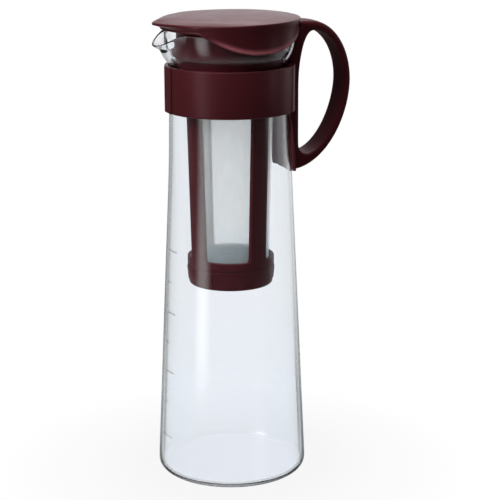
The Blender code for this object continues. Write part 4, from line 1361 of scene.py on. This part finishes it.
deselect_all()
table_place = (0, 0, -table_drop)
bpy.ops.mesh.primitive_circle_add(vertices=96, radius=table_radius, fill_type="NGON", location=table_place)
table = bpy.context.object
table.name = table.data.name = "table_top"
table.data.materials.append(table_top())

world = bpy.data.worlds.new("white_studio")
bpy.context.scene.world = world
world.use_nodes = True
sky = world.node_tree


def behind(turn):
    """The level direction away from the camera, turned to its right by an angle."""
    return (-math.cos(view_turn - turn), -math.sin(view_turn - turn), 0)


def towards(aim, least, most):
    """How squarely a direction of the sky points along an aim, eased from least to most."""
    along = sky.nodes.new("ShaderNodeVectorMath")
    along.operation = "DOT_PRODUCT"
    along.inputs[1].default_value = aim
    sky.links.new(coordinates(sky, "Generated"), along.inputs[0])
    return carry_over(sky, along.outputs["Value"], least, most, interpolation="SMOOTHSTEP")


upper_sky = towards((0, 0, 1), -0.45, 0.0)
backdrop = work_out(sky, "MULTIPLY", towards(behind(backdrop_turn), 0.55, 0.94), upper_sky)
studio = ramp(sky, backdrop, (0, (0.05, 0.05, 0.05)), (1, (0.95, 0.96, 1.0)))
straight_share, glass_share = white_shares(sky)
glass_share = work_out(sky, "MULTIPLY", glass_share, towards(behind(0), -0.3, 0.3))
white_share = work_out(sky, "MAXIMUM", straight_share, glass_share)
feed(sky, sky.nodes["Background"].inputs["Color"], mix_colours(sky, white_share, studio, white))


def feather(data):
    """Lets a softbox fade towards its edges, as its cloth does."""
    data.use_nodes = True
    tree = data.node_tree
    sides = tree.nodes.new("ShaderNodeSeparateXYZ")
    on_cloth = tree.nodes.new("ShaderNodeNewGeometry").outputs["Parametric"]
    tree.links.new(on_cloth, sides.inputs["Vector"])
    fades = []
    for axis in "XY":
        inward = work_out(tree, "PINGPONG", sides.outputs[axis], 0.5)
        fades.append(carry_over(tree, inward, 0, 0.45, interpolation="SMOOTHSTEP"))
    tree.links.new(work_out(tree, "MULTIPLY", *fades), tree.nodes["Emission"].inputs["Strength"])


def place_lamp(name, turn_from_view, distance, height, size, glow):
    """An area lamp aimed at the middle of the carafe. Turns go clockwise from above, from the camera."""
    data = bpy.data.lights.new(name, "AREA")
    feather(data)
    data.shape = "RECTANGLE"
    data.size, data.size_y = size
    data.energy = glow * math.pi * size[0] * size[1]
    lamp = bpy.data.objects.new(name, data)
    bpy.context.scene.collection.objects.link(lamp)
    turn = view_turn - math.radians(turn_from_view)
    lamp.location = (distance * math.cos(turn), distance * math.sin(turn), height)
    aim = Vector((0, 0, 0.5 * rim_z)) - lamp.location
    lamp.rotation_euler = aim.to_track_quat("-Z", "Y").to_euler()
    lamp.visible_camera = False
    return lamp


place_lamp("key_softbox", 58, 1.6, 1.5, (1.4, 1.4), 11)
place_lamp("tall_softbox", 50, 1.3, 0.1, (0.8, 2.0), 2.2)
place_lamp("top_softbox", 0, 0.15, 1.4, (1.0, 1.0), 10.0)
place_lamp("back_softbox", 176, 1.3, 1.35, (1.9, 0.8), 3.6).visible_transmission = False
place_lamp("right_fill", -80, 1.6, 0.4, (0.7, 1.6), 1.2)


# Camera
# It stands where the photograph was taken from: a metre away and a little above the lid, with the
# spout on the left and the handle on the right.

photo_pixels = 500
focal_pixels = 1580
camera_height = 0.408
camera_turn, camera_tilt, camera_roll = (math.radians(angle) for angle in (-20.72, 75.43, -0.15))

camera_data = bpy.data.cameras.new("camera")
camera_data.sensor_width = 36
camera_data.lens = focal_pixels / photo_pixels * camera_data.sensor_width
camera = bpy.data.objects.new("camera", camera_data)
bpy.context.scene.collection.objects.link(camera)
camera.location = (math.cos(view_turn), math.sin(view_turn), camera_height)
camera.rotation_euler = (
    Matrix.Rotation(camera_turn, 3, "Z")
    @ Matrix.Rotation(camera_tilt, 3, "X")
    @ Matrix.Rotation(camera_roll, 3, "Z")
).to_euler()
bpy.context.scene.camera = camera
bpy.context.scene.view_settings.view_transform = "Standard"
